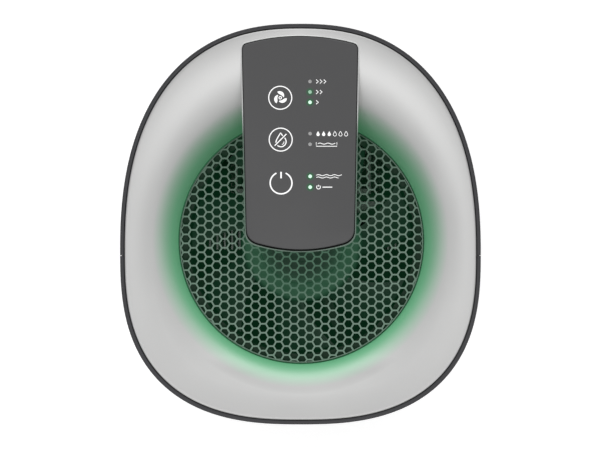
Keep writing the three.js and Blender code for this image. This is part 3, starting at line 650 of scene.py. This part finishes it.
turning = Pattern("blades_round_hub", Count=7, Material=fan_black.material)
numbers = turning.node("GeometryNodeInputIndex", {}, {})
spots = turning.node("GeometryNodePoints", {}, {"Count": turning.given("Count")})
heading = numbers * (2 * math.pi) / turning.given("Count")
spin = turning.node("CombineXYZ", {}, {"Z": heading})
values = {"Points": spots, "Instance": turning.given("Geometry"), "Rotation": spin}
copies = turning.node("GeometryNodeInstanceOnPoints", {}, values)
blades = turning.made_on(blade_mesh(), copies)
blades.data.transform(shift(0, outlet_y, 0))
fit(blades, "fan", "black_plastic")

ear_radius = 75
fan_ears = {}
for i, name in enumerate(["rear_right", "rear_left", "front_left", "front_right"]):
    angle = math.radians(45 + 90 * i)
    fan_ears[name] = (ear_radius * math.cos(angle), outlet_y + ear_radius * math.sin(angle))
    cross_screw(f"fan_screw_{name}", shift(*fan_ears[name], 256.7), 14, 1)

# ======== LIGHT RING ========
# A milky acrylic ring round the fan's mouth carries green light from a strip of diodes up to the
# narrow gap between grille and bowl.
ring_glow = moulded("ring_glow", tone("5a8f70"), 0.3, grain=600)
ring_glow.set(Emission_Color=ring_glow.mix(ring_glow.noise(60), tone("2fae62"), tone("4fd088")))
ring_glow.set(Emission_Strength=0.07)
light_ring = turned(
    "light_ring_fine",
    [(68.5, 264), (71, 264), (71, 268.9), (70.7, 269.5), (70.2, 269.8), (68.9, 269.8),
     (68.5, 269.4)],
    ring_glow, (0, outlet_y), 160,
)
fit(light_ring, "cabinet", "glow_diffuser", "light_ring")
dress(board_mask, "light_strip")

# ======== OUTLET GRILLE ========
# A moulded disc of small hexagons, painted silver grey, drops into the bowl and is held by a
# flat band at its edge.
grille_finish = moulded("grille_paint", tone("6c8375"), 0.5, grain=2600, drift=0.1)
grille_finish.set(Metallic=0.2)
# The paint's grey carries a green tint, painted light from the light ring; over the hub it is mixed
# to a darker green, painted light from the lit hub below.
painted_hub_light = ((0.037 - grille_finish.off_axle()) / 0.01).held() * 0.8
grille_finish.set(
    Base_Color=grille_finish.mix(painted_hub_light, grille_finish.base(), tone("3f6b53"))
)
honeycomb = Pattern(
    "honeycomb", Pitch=0.005, Rib=0.00088, Depth=0.0022, Reach=0.0695, Edge=0.0679, Row=34,
    Offset=(0.0003, -0.00133, 0.0), Material=grille_finish.material,
)
pitch = honeycomb.given("Pitch")
row_count = honeycomb.given("Row")
index = honeycomb.node("GeometryNodeInputIndex", {}, {})
column = index % row_count - row_count * 0.5
row = (index / row_count).floor() - row_count * 0.5
across = column * pitch * math.sqrt(0.75)
up = (row + (column % 2) * 0.5) * pitch
spot = honeycomb.node("CombineXYZ", {}, {"X": across, "Y": up})
spot = honeycomb.vector("ADD", spot, honeycomb.given("Offset"))
values = {"Count": row_count * row_count, "Position": spot}
spots = honeycomb.node("GeometryNodePoints", {}, values)
outside = honeycomb.vector("LENGTH", spot) > honeycomb.given("Reach")
values = {"Geometry": spots, "Selection": outside}
spots = honeycomb.node("GeometryNodeDeleteGeometry", {}, values)

outer = pitch / math.sqrt(3)
inner = (pitch - honeycomb.given("Rib")) / math.sqrt(3)
values = {"Resolution": 6, "Radius": (outer + inner) * 0.5}
hexagon = honeycomb.node("GeometryNodeCurvePrimitiveCircle", {}, values)
values = {"Width": outer - inner, "Height": honeycomb.given("Depth")}
section = honeycomb.node("GeometryNodeCurvePrimitiveQuadrilateral", {}, values)
values = {"Curve": hexagon, "Profile Curve": section, "Fill Caps": False}
cell = honeycomb.node("GeometryNodeCurveToMesh", {}, values)
values = {"Points": spots, "Instance": cell}
cells = honeycomb.node("GeometryNodeInstanceOnPoints", {}, values)
cells = honeycomb.node("GeometryNodeRealizeInstances", {}, {0: cells})

# Whatever reaches past the edge is drawn in to it, so the outermost cells end on the band.
at = honeycomb.node("GeometryNodeInputPosition", {}, {})
far = honeycomb.vector("LENGTH", honeycomb.vector("MULTIPLY", at, (1, 1, 0)))
shrink = honeycomb.given("Edge") / far
shrink = honeycomb.node("Math", {"operation": "MINIMUM"}, {0: shrink, 1: 1.0})
scaling = honeycomb.node("CombineXYZ", {}, {"X": shrink, "Y": shrink, "Z": 1.0})
inside = honeycomb.vector("MULTIPLY", at, scaling)
cells = honeycomb.node("GeometryNodeSetPosition", {}, {"Geometry": cells, "Position": inside})
corner = [(0, 0, 0), (1, 0, 0), (0, 1, 0)]
grille = mesh_piece("outlet_honeycomb", corner, [(0, 1, 2)], grille_finish)
honeycomb.made_on(grille, cells)
soften(grille, 20)
grille.data.transform(shift(0, outlet_y, 269.3))
fit(grille, "cabinet", "grille_paint", "outlet_grille")
band = turned(
    "outlet_band",
    [(67.5, 268), (68.2, 268), (68.2, 270.1), (68.1, 270.25), (67.9, 270.3), (67.65, 270.25),
     (67.5, 270.1)],
    grille_finish, (0, outlet_y), 180,
)
fit(band, "cabinet", "grille_paint")

# ======== SILVER BOWL AND POD TRAY ========
# The bowl is one ABS moulding in satin metallic paint: it rolls over from the rim and falls to
# the outlet. The pod's tray, in the same paint, reaches from its back over the outlet.
bowl_radius = 68.9
bowl_low = 271
silver = Finish("silver_paint", tone("c9c9c9"), 0.36, Metallic=0.55)
flake = silver.noise(5200, 1.0)
cloud = silver.noise(26, 2.0)
metal = silver.mix(flake * 0.6 + cloud * 0.4, tone("bdbdbd"), tone("d3d3d2"))
from_middle = silver.off_axle()
point = silver.place(centre=(0, outlet_y / 1000, 0))
along, across = silver.along("Y", point), silver.along("X", point)
forward = 0.5 - along / 0.14
lean = forward.held()

# The roll at the rim, and the pool in front of the outlet, catch less of the room; their shade is
# painted in by darkening the metal's colour.
depth_here = (along > -0.008) * 0.034 + 0.094
side_share = silver.node("Math", {"operation": "ABSOLUTE"}, {0: across}) / 0.1
depth_share = silver.node("Math", {"operation": "ABSOLUTE"}, {0: along + 0.008}) / depth_here
to_rim = side_share ** 2.5 + depth_share ** 2.5
away_from_pod = (side_share / 0.45 + lean).held()
painted_rim_shade = ((to_rim - 0.62) / 0.3).held() * away_from_pod * 0.2
off_pool = (from_middle - 0.0785) / 0.007
painted_pool_shade = (1 - off_pool * off_pool).held() * ((forward - 0.96) / 0.06).held() * 0.2
metal = silver.mix((painted_rim_shade + painted_pool_shade).held(), metal, (0, 0, 0))

# Painted green light from the light ring: near the outlet the paint is mixed to green and given a
# green glow, stronger in front.
glow = ((0.0827 - lean * 0.0012 - from_middle) / 0.0105).held()
silver.set(Base_Color=silver.mix(glow * 0.62, metal, tone("4c9a70")))
painted_glow_colour = silver.mix(lean, tone("1d6a3c"), tone("58d48c"))
silver.set(Emission_Color=silver.mix(glow, (0, 0, 0), painted_glow_colour))
silver.set(Emission_Strength=0.36)
silver.set(Roughness=flake * 0.1 + cloud * 0.06 + 0.4)
silver.bump(flake, 0.00001, 0.3)


def bowl_loop(angle):
    """The bowl's closed section on one line from the rim to the outlet's middle."""
    outer_point = Vector(plan_point(angle, wall + 0.3))
    inward = Vector((0, outlet_y)) - outer_point
    run = inward.length - bowl_radius
    inward.normalize()
    rise = rim_z(outer_point.y) - bowl_low

    def arc(share, thin):
        t = share * math.pi / 2
        return (run - thin) * math.sin(t), (rise - thin) * math.cos(t)

    steps = 26
    section = [(0, rise - 12), (0, rise - 0.9), (0.08, rise - 0.55), (0.25, rise - 0.25)]
    section += [(0.55, rise - 0.06), (0.8 + (arc(1 / steps, 0)[0] - 0.8) * 0.3, rise)]
    section += [arc(i / steps, 0) for i in range(1, steps + 1)]
    section += [(run, -0.6), (run - 0.1, -0.85), (run - 0.4, -1), (run - 1.8, -1)]
    section += [(run - 2.1, -0.8), (run - wall, -0.3)]
    section += [arc(i / 12, wall) for i in range(11, 0, -1)]
    section += [(wall, rise - wall - 0.6), (wall, rise - 12)]
    loop = []
    for along, height in section:
        at = outer_point + inward * along
        loop.append((at.x, at.y, bowl_low + height))
    return loop


bowl = lofted("silver_bowl", [bowl_loop(a) for a in plan_angles], silver, 50, endless=True)


def pod_line(grow, front_gap=0):
    """The pod's outline in its own plane, grown outwards and held back at its front edge."""
    rear, front = 31.8 + grow, 29.9 + grow
    high, low = 104.8 + grow, -14.3 - grow + front_gap
    corners = [
        [(-rear, high - 8), (-rear, high - 4.8), (-rear + 2.6, high - 4.2)],
        [(-rear + 2.6, high - 4.2), (0, high + 3.6), (rear - 2.6, high - 4.2)],
        [(rear - 2.6, high - 4.2), (rear, high - 4.8), (rear, high - 8)],
        [(front, low + 11.6), (front, low + 4.6), (front - 8, low + 3)],
        [(front - 8, low + 3), (0, low - 3), (-front + 8, low + 3)],
        [(-front + 8, low + 3), (-front, low + 4.6), (-front, low + 11.6)],
    ]
    line = []
    for (x0, y0), (x1, y1), (x2, y2) in corners:
        for i in range(14):
            t = i / 14
            a, b, c = (1 - t) ** 2, 2 * t * (1 - t), t * t
            line.append((a * x0 + b * x1 + c * x2, a * y0 + b * y1 + c * y2))
        if (x2, y2) in ((rear, high - 8), (-front, low + 11.6)):
            line.append((x2, y2))
    return line


pod_place = Matrix.Translation((0, 0, rim_middle / 1000)) @ Matrix.Rotation(rim_tilt, 4, "X")


def pod_body(name, levels, finish, crease=32, front_gap=0, endless=False):
    """A body in the pod's plane, through outlines of (grow, height)."""
    loops = [[(x, y, w) for x, y in pod_line(grow, front_gap)] for grow, w in levels]
    piece = lofted(name, loops, finish, crease, endless)
    piece.data.transform(pod_place)
    return piece


carved(bowl, pod_body("tool", [(0.6, -9.5), (0.6, 30)], silver))
for place in fan_ears.values():
    boss = rod("z", 3, (261.5, 277), place, silver, 24, "bowl_boss")
    carved(boss, rod("z", 1.6, (260, 274), place, silver, 16))
    fit(boss, "cabinet", "silver_paint")
fit(soften(bowl, 50), "cabinet", "silver_paint", "top_bezel")

tray_paint = Finish("tray_paint", tone("c4c6c5"), 0.4, Metallic=0.5)
flake = tray_paint.noise(5200, 1.0)
metal = tray_paint.mix(flake, tone("bcbebd"), tone("cccdcc"))
over_outlet = ((0.078 - tray_paint.off_axle()) / 0.012).held()

# Painted green light from the light ring: over the outlet the tray is mixed to grey green, and its
# underside, turned to the outlet, is greener than its edge and given a green glow.
slope = (0, -math.sin(rim_tilt), math.cos(rim_tilt))
off_plane = tray_paint.vector("DOT_PRODUCT", tray_paint.place(), slope)
below = ((rim_middle / 1000 * math.cos(rim_tilt) - 0.0035 - off_plane) / 0.006).held()
painted_lit_metal = tray_paint.mix(below, tone("66786d"), tone("3d6b52"))
tray_paint.set(Base_Color=tray_paint.mix(over_outlet, metal, painted_lit_metal))
painted_tray_glow = tray_paint.mix(below * over_outlet, (0, 0, 0), tone("2c8a52"))
tray_paint.set(Emission_Color=painted_tray_glow, Emission_Strength=0.3)
tray_paint.set(Roughness=flake * 0.1 + 0.38)
tray_paint.bump(flake, 0.00001, 0.3)
tray_levels = [
    (-2.4, -10.6), (-1.2, -10.5), (-0.3, -10.1), (0.4, -9.3), (0.8, -8.4), (1, -7.2), (1, -4),
    (1, 0), (0.9, 0.25), (0.7, 0.4), (0.45, 0.38), (0.3, 0.2), (0.3, -1.5), (-1.8, -1.5),
    (-1.8, -8.6),
]
tray = pod_body("pod_tray_fine", tray_levels, tray_paint, crease=40)
board_screws = {"rear": 90, "front": -4}
for v in board_screws.values():
    boss = rod("z", 3, (-9.1, -6.9), (0, v), tray_paint, 24)
    boss.data.transform(pod_place)
    bore = rod("z", 1.3, (-9.6, 0), (0, v), tray_paint, 16)
    bore.data.transform(pod_place)
    carved(tray, boss, how="UNION")
    carved(tray, bore)
cable_slot = block((-8, 8), (78, 84), (-12, -7), tray_paint)
cable_slot.data.transform(pod_place)
carved(tray, cable_slot)
fit(soften(tray, 40), "cabinet", "silver_paint", "pod_tray")

# ======== CONTROL BOARD, KEY SPRINGS AND SCREWS ========
# The touch board lies in the tray on two screws. A bronze coil above each key presses on the
# cover's underside and senses a finger through it.
dress(board_mask, "control_board")
dress(contact_bronze, "fan_key_spring", "dry_key_spring", "power_key_spring")
for name, v in board_screws.items():
    turn = pod_place @ shift(0, v, -4.8) @ Matrix.Rotation(math.pi, 4, "X")
    cross_screw(f"board_screw_{name}", turn, 4, 0.75)

# ======== PANEL COVER ========
# A dark grey ABS cover with a fine matt grain drops into the tray. Round each lit lamp, and the dim
# one, the cover picks up a small green halo of painted light: its colour is darkened to green and
# given a green glow.
lamp_x = 5.5
lamps = {
    "speed_high": (79.7, "off"), "speed_middle": (73.9, "dim"), "speed_low": (68.2, "lit"),
    "tank_dry": (50.8, "off"), "tank_full": (44.9, "off"),
    "power_air": (27.1, "lit"), "power_on": (21.1, "lit"),
}
panel = moulded("panel_grey", tone("414142"), 0.5, grain=2600, drift=0.03)
halo = 0
for v, state in lamps.values():
    if state == "off":
        continue
    centre = pod_place @ Vector((lamp_x / 1000, v / 1000, 0.001))
    away = panel.vector("LENGTH", panel.place(centre=centre))
    halo = ((0.0026 - away) / 0.0011).held() * (1.0 if state == "lit" else 0.85) + halo
halo = halo.held()
panel.set(Base_Color=panel.mix(halo * 0.9, panel.base(), tone("0a1f12")))
panel.set(Emission_Color=panel.mix(halo, (0, 0, 0), tone("17643a")), Emission_Strength=0.6)
cover = pod_body(
    "panel_cover_fine",
    [(-0.2, -1.2), (0, -1.0), (0, 0.4), (-0.06, 0.68), (-0.25, 0.9), (-0.6, 1.0)],
    panel, front_gap=0.6,
)
fit(cover, "cabinet", "panel_plastic", "panel_cover")

# A black foam strip lies on the tray's ledge, under the cover's edge, and closes the gap.
strip_foam = moulded("gasket_foam", tone("0b0d0c"), 0.95, grain=1500)
strip = [(0.25, -1.48), (0.25, -1.25), (-1.7, -1.25), (-1.7, -1.48)]
gasket = pod_body("panel_gasket", strip, strip_foam, endless=True)
fit(gasket, "cabinet", "foot_rubber")

# ======== LAMPS ========
# Each lamp is the domed end of a clear acrylic light pipe. Three are lit, one glows dimly and
# three are off.
lamp_finishes = {}
# The off lamps keep a faint grey glow: painted light on their clear domes.
for state, color, glow_tone, power in (
    ("off", "949494", "949494", 0.03),
    ("dim", "3f5f4c", "8ab89a", 0.8),
    ("lit", "4a6a56", "d4ffe4", 1.0),
):
    finish = moulded(f"lamp_{state}", tone(color), 0.25, grain=3000, drift=0.02)
    core = finish.noise(1400, 1.0) * 0.2
    finish.set(Emission_Color=finish.mix(core, tone(glow_tone), (1, 1, 1)), Emission_Strength=power)
    lamp_finishes[state] = finish
for name, (v, state) in lamps.items():
    dome = turned(
        f"lamp_{name}",
        [(0.01, -4), (1, -4), (1, 1.0), (0.85, 1.06), (0.55, 1.12), (0.01, 1.15)],
        lamp_finishes[state], steps=28, crease=60,
    )
    dome.data.transform(pod_place @ shift(lamp_x, v, 0))
    group = name.split("_")[0]
    fit(dome, "cabinet", "clear_plastic", f"{group}_light_pipes")

# ======== PRINTED MARKS ========
# Screen-printed white marks: three key signs, and a small sign beside each lamp in place of any
# wording. The ink is a thin raised film.
ink = moulded("white_ink", tone("ededed"), 0.55, grain=3000, drift=0.02)
# The ink is given a slight glow: painted light that keeps the marks white.
ink.set(Emission_Color=tone("e8e8e8"), Emission_Strength=0.3)
ink_points, ink_faces = [], []
ink_low, ink_high = 0.97, 1.05


def print_body(loops, endless=False):
    points, faces = loop_body(loops, endless)
    start = len(ink_points)
    ink_points.extend(points)
    ink_faces.extend(tuple(start + i for i in face) for face in faces)


def print_shape(line):
    """Prints one filled shape."""
    print_body([[(x, y, w) for x, y in line] for w in (ink_low, ink_high)])


def print_line(points, width, endless=False):
    """Prints a line of even width with square ends, or a closed one."""
    loops = []
    last = len(points) - 1
    for i, (x, y) in enumerate(points):
        ahead = points[(i + 1) % len(points) if endless else min(i + 1, last)]
        back = points[i - 1 if endless else max(i - 1, 0)]
        dx, dy = ahead[0] - back[0], ahead[1] - back[1]
        length = math.hypot(dx, dy)
        nx, ny = -dy / length * width / 2, dx / length * width / 2
        left, right = (x + nx, y + ny), (x - nx, y - ny)
        loops.append(
            [(*left, ink_low), (*left, ink_high), (*right, ink_high), (*right, ink_low)]
        )
    print_body(loops, endless)


def arc_points(x, y, radius, start, end, steps=64):
    angles = [math.radians(start + (end - start) * i / steps) for i in range(steps + 1)]
    return [(x + radius * math.cos(a), y + radius * math.sin(a)) for a in angles]


def print_ring(x, y, radius, width):
    print_line(arc_points(x, y, radius, 0, 360)[:-1], width, True)


def around_key(key, points):
    key_x, v = key_signs[key]
    return [(key_x + x, v + y) for x, y in points]


key_signs = {"fan": (-10.95, 70.7), "dry": (-10.75, 47.5), "power": (-10.6, 23.4)}
key_stroke = 0.56
for key in ("fan", "dry"):
    print_ring(*key_signs[key], 6.36, key_stroke)

# Fan sign: three swept blades round a small hub ring, each blade given as (angle, radius).
blade_edge = [
    (116, 3.64), (104, 3.74), (90, 3.66), (76, 3.5), (64, 3.32), (50, 3.02), (39, 2.75), (25, 2.42),
    (10, 2.1), (9, 1.75), (28, 1.6), (48, 1.56), (70, 1.62), (90, 1.78), (103, 2.1), (112, 2.5),
]
for turn in (0, 120, 240):
    rays = [(math.radians(t + turn), r) for t, r in blade_edge]
    print_shape(around_key("fan", [(r * math.cos(t), r * math.sin(t)) for t, r in rays]))
print_ring(*key_signs["fan"], 0.7, 0.5)

# Drying sign: a drop, broken where a stroke crosses it.
drop_left = [(1.05, 2.1), (0.5, 3.0), (0, 3.75), (-0.6, 2.85), (-1.5, 1.35), (-2.25, 0)]
drop_left += [(-2.6, -1.1), (-2.6, -1.7)]
drop_right = [(-1.8, -3.25), (-0.9, -3.8), (0.2, -4.02), (1.3, -3.8), (2.3, -3.05), (2.9, -2.0)]
drop_right += [(3.02, -0.9), (2.75, 0.1), (2.2, 1.05)]
stroke = [(-3.35, -3.4), (3.2, 3.15)]
glint = [(0.75, -2.75), (1.4, -2.35), (1.75, -1.7), (1.8, -1.1)]
for points in (drop_left, drop_right, stroke):
    print_line(around_key("dry", points), key_stroke)
print_line(around_key("dry", glint), 0.4)

# Power sign: an open ring and a bar.
print_line(arc_points(*key_signs["power"], 6.03, 115, 425), 0.75)
print_line(around_key("power", [(0, 2.6), (0, 6.2)]), 0.85)

# Small signs beside the lamps: speed marks, drops, a filled tray, an air stream and a power ring.
sign_x = lamp_x + 3.4
for name, count in (("speed_high", 3), ("speed_middle", 2), ("speed_low", 1)):
    v = lamps[name][0]
    for i in range(count):
        x = sign_x + 2.1 * i
        print_line([(x, v + 1.05), (x + 1.2, v), (x, v - 1.05)], 0.42)


def drop_points(x, y, size):
    """A small drop's outline, point upwards."""
    point = [(x + a * size, y + b * size) for a, b in ((0.13, 0.32), (0, 0.56), (-0.13, 0.32))]
    return arc_points(x, y - 0.18 * size, 0.36 * size, -210, 30, 12) + point


v = lamps["tank_dry"][0]
for i in range(6):
    small = drop_points(sign_x + 1.0 + 3.1 * i, v, 2.5)
    if i < 3:
        print_shape(small)
    else:
        print_line(small, 0.3, True)


def print_wave(start, y, steps):
    print_line([(start + 0.3 * i, y + 0.3 * math.sin(i * 0.42)) for i in range(steps)], 0.36)


v = lamps["tank_full"][0]
tray_end = sign_x + 11.4
print_line([(sign_x, v + 1.1), (sign_x, v - 1.1), (tray_end, v - 1.1), (tray_end, v + 1.1)], 0.36)
print_wave(sign_x + 0.9, v + 0.35, 33)
v = lamps["power_air"][0]
for lift, steps in ((0.65, 48), (-0.65, 42)):
    print_wave(sign_x, v + lift, steps)
v = lamps["power_on"][0]
print_line(arc_points(sign_x + 1.2, v, 1.05, 125, 415, 24), 0.4)
print_line([(sign_x + 1.2, v + 0.3), (sign_x + 1.2, v + 1.3)], 0.4)
print_line([(sign_x + 3.4, v), (sign_x + 8.8, v)], 0.5)

marks = mesh_piece("printed_marks", ink_points, ink_faces, ink)
marks.data.transform(pod_place)
fit(marks, "cabinet", "white_plastic")

# ======== WATER TANK, LID AND FLOAT ========
# The tank and lid are smoke-tinted polycarbonate. A foam float on a white arm hangs inside it and
# rises with the water until its magnet trips the sensor under the deck.
smoke = Finish("tank_smoke", tone("a3b0b4"), 0.12, IOR=1.45)
smoke.set(Transmission_Weight=0.85)
smoke.set(Roughness=smoke.noise(90) * 0.14 + 0.06)
smoke.bump(smoke.noise(220), 0.00003, 0.3)
tank_low = 9.6
tank_half = 72
tank_step_in = 3.0


def form_body(name, z, depth):
    """The tank's plan stepped inwards by a depth, between two levels, with the handle's notch."""
    heights = sorted({z[0], z[1]} | {h for h in tuck_levels if z[0] < h < z[1]})
    body = lofted(name, [plan_ring(h, tank_step_in + depth) for h in heights], smoke)
    half, notch_half = tank_half - depth, 50 + depth
    sides = block((-half, half), (-200, 200), (z[0] - 1, z[1] + 1), smoke)
    carved(body, sides, how="INTERSECT")
    notch_x, notch_z, notch_y = (-notch_half, notch_half), (66 - depth, 200), (76 - depth, 200)
    return carved(body, rounded_plate(notch_x, notch_z, notch_y, 3, smoke))


tank = form_body("water_tank_fine", (tank_low, 113), 0)
carved(tank, form_body("tool", (12, 118), 2.2))

# Two ears hold the float's pin. Each runs into the tank's front wall.
for x, wall_y in ((-45, -96.2), (-23, -98.6)):
    ear = block((x - 1, x + 1), (wall_y, -83), (91, 101), smoke)
    carved(ear, rod("x", 2.3, (x - 5, x + 5), (-88, 96), smoke, 24))
    carved(tank, ear, how="UNION")
drain = (0, 24)
carved(tank, rod("y", 4.6, (80, 120), drain, smoke, 32))
fit(tank, "tank", "smoke_plastic", "water_tank")

lid = form_body("tank_lid_fine", (113.3, 115.3), 0)
carved(lid, rod("z", 10, (100, 130), (0, 32), smoke, 48))
lip = form_body("tank_lid_lip", (109, 113.35), 2.6)
carved(lip, form_body("tool", (108, 114), 4.4))
fit(lid, "tank_lid", "smoke_plastic", "tank_lid")
fit(lip, "tank_lid", "smoke_plastic")

dress(polypropylene, "float_arm")
dress(foam, "float_block")
dress(zinc, "float_magnet")

# ======== TANK FASCIA, HANDLE AND DRAIN PLUG ========
# The charcoal fascia closes the bay flush with the cabinet and is fixed to the tank. A carrying
# handle hangs in its recess on two stub pins, and a rubber plug stops the drain below it.
handle_pin = (92, 104)
fascia = wall_plate(
    "tank_fascia_fine", (tank_low, 119), (0, wall), (-75.6, 75.6), 4.6, charcoal, 180
)
tub = rounded_plate((-49.5, 49.5), (66.5, 113), (76.5, 112), 4, charcoal)
inside = lofted("tool", [plan_ring(h, 0.4) for h in (60, 116)], charcoal)
carved(tub, inside, how="INTERSECT")
carved(fascia, tub, how="UNION")
carved(
    fascia,
    rounded_plate((-47.5, 47.5), (68.5, 111), (78.5, 200), 3, charcoal),
    rod("x", 2.3, (-60, 60), handle_pin, charcoal, 32),
    rod("y", 7.4, (80, 130), drain, charcoal, 48),
)
fit(fascia, "tank", "charcoal_plastic", "tank_fascia")

handle_path = [(-42, 104), (-42, 84.5), (-41.6, 82.4), (-40.4, 80.6), (-38.6, 79.4), (-36.5, 79)]
handle_path += [(-x, z) for x, z in reversed(handle_path)]
bar_radius = 2.5
handle_loops = []
for i, (x, z) in enumerate(handle_path):
    ahead = Vector(handle_path[min(i + 1, len(handle_path) - 1)])
    back = Vector(handle_path[max(i - 1, 0)])
    run = (ahead - back).normalized()
    loop = []
    for c, s in turns(20):
        across = bar_radius * math.copysign(abs(c) ** 0.5, c)
        thick = bar_radius * math.copysign(abs(s) ** 0.5, s)
        loop.append((x - run.y * across, handle_pin[0] + thick, z + run.x * across))
    handle_loops.append(loop)
handle = lofted("tank_handle_fine", handle_loops, charcoal, crease=60)
for side in (-1, 1):
    for radius, near, far in ((bar_radius, 39.6, 44.4), (2, 44, 49.2)):
        ends = sorted((side * near, side * far))
        carved(handle, rod("x", radius, ends, handle_pin, charcoal, 32), how="UNION")
fit(handle, "tank_handle", "charcoal_plastic", "tank_handle")

plug = rod("y", 7, (103.2, 106), drain, rubber, 48, "drain_plug_fine")
stem = rod("y", 4.2, (98.5, 104), drain, rubber, 32)
finger_bar = rounded_plate((-1.2, 1.2), (19, 29), (105, 108), 1.1, rubber)
carved(plug, stem, finger_bar, how="UNION")
fit(plug, "drain_plug", "foot_rubber", "drain_plug")

# ======== FILTER DOOR AND FILTER ========
# The louvred door hinges at its foot. The slats are one moulding with it and shed light and dust
# downwards. A pleated glass-fibre filter in a white frame is clipped behind them.
door = wall_plate("filter_door_fine", (139.4, 231.8), (0, wall), (-55.6, 55.6), 3.6, charcoal, 180)
carved(door, rounded_plate((-46, 46), (149, 222), (0, 200), 4, charcoal, 10))
slat_section = [
    (0.15, 150.2), (0.15, 151.4), (0.5, 151.8), (2.1, 154.2), (2.1, 153.0), (0.5, 150.4),
]
slat_half = 47
depth, power = plan["rear"]
slat_loops = []
for i in range(61):
    x = -slat_half + 2 * slat_half * i / 60
    loop = []
    for inset, z in slat_section:
        edge = form_inset(z) + inset
        share = abs(x) / (half_width - edge)
        y = seam_y + (depth - edge) * (1 - share**power) ** (1 / power)
        loop.append((x, y, z))
    slat_loops.append(loop)
slat = lofted("filter_door_slats", slat_loops, charcoal)
step_up = (0.0, 0.000128, 0.006)
stacking = Pattern("slats_up_door", Count=12, Step=step_up, Material=charcoal.material)
values = {"Count": stacking.given("Count"), "Offset": stacking.given("Step")}
spots = stacking.node("GeometryNodeMeshLine", {"mode": "OFFSET"}, values)
values = {"Points": spots, "Instance": stacking.given("Geometry")}
slats = stacking.node("GeometryNodeInstanceOnPoints", {}, values)
slat = stacking.made_on(slat, slats)
fit(door, "filter_door", "charcoal_plastic", "filter_door")
fit(slat, "filter_door", "charcoal_plastic")

glass_paper = moulded("filter_paper", tone("f1f1ec"), 0.9, grain=700, depth=0.0002, drift=0.05)
dress(polypropylene, "filter_frame")
dress(glass_paper, "filter_pleats")
dress(foam, "filter_seal")
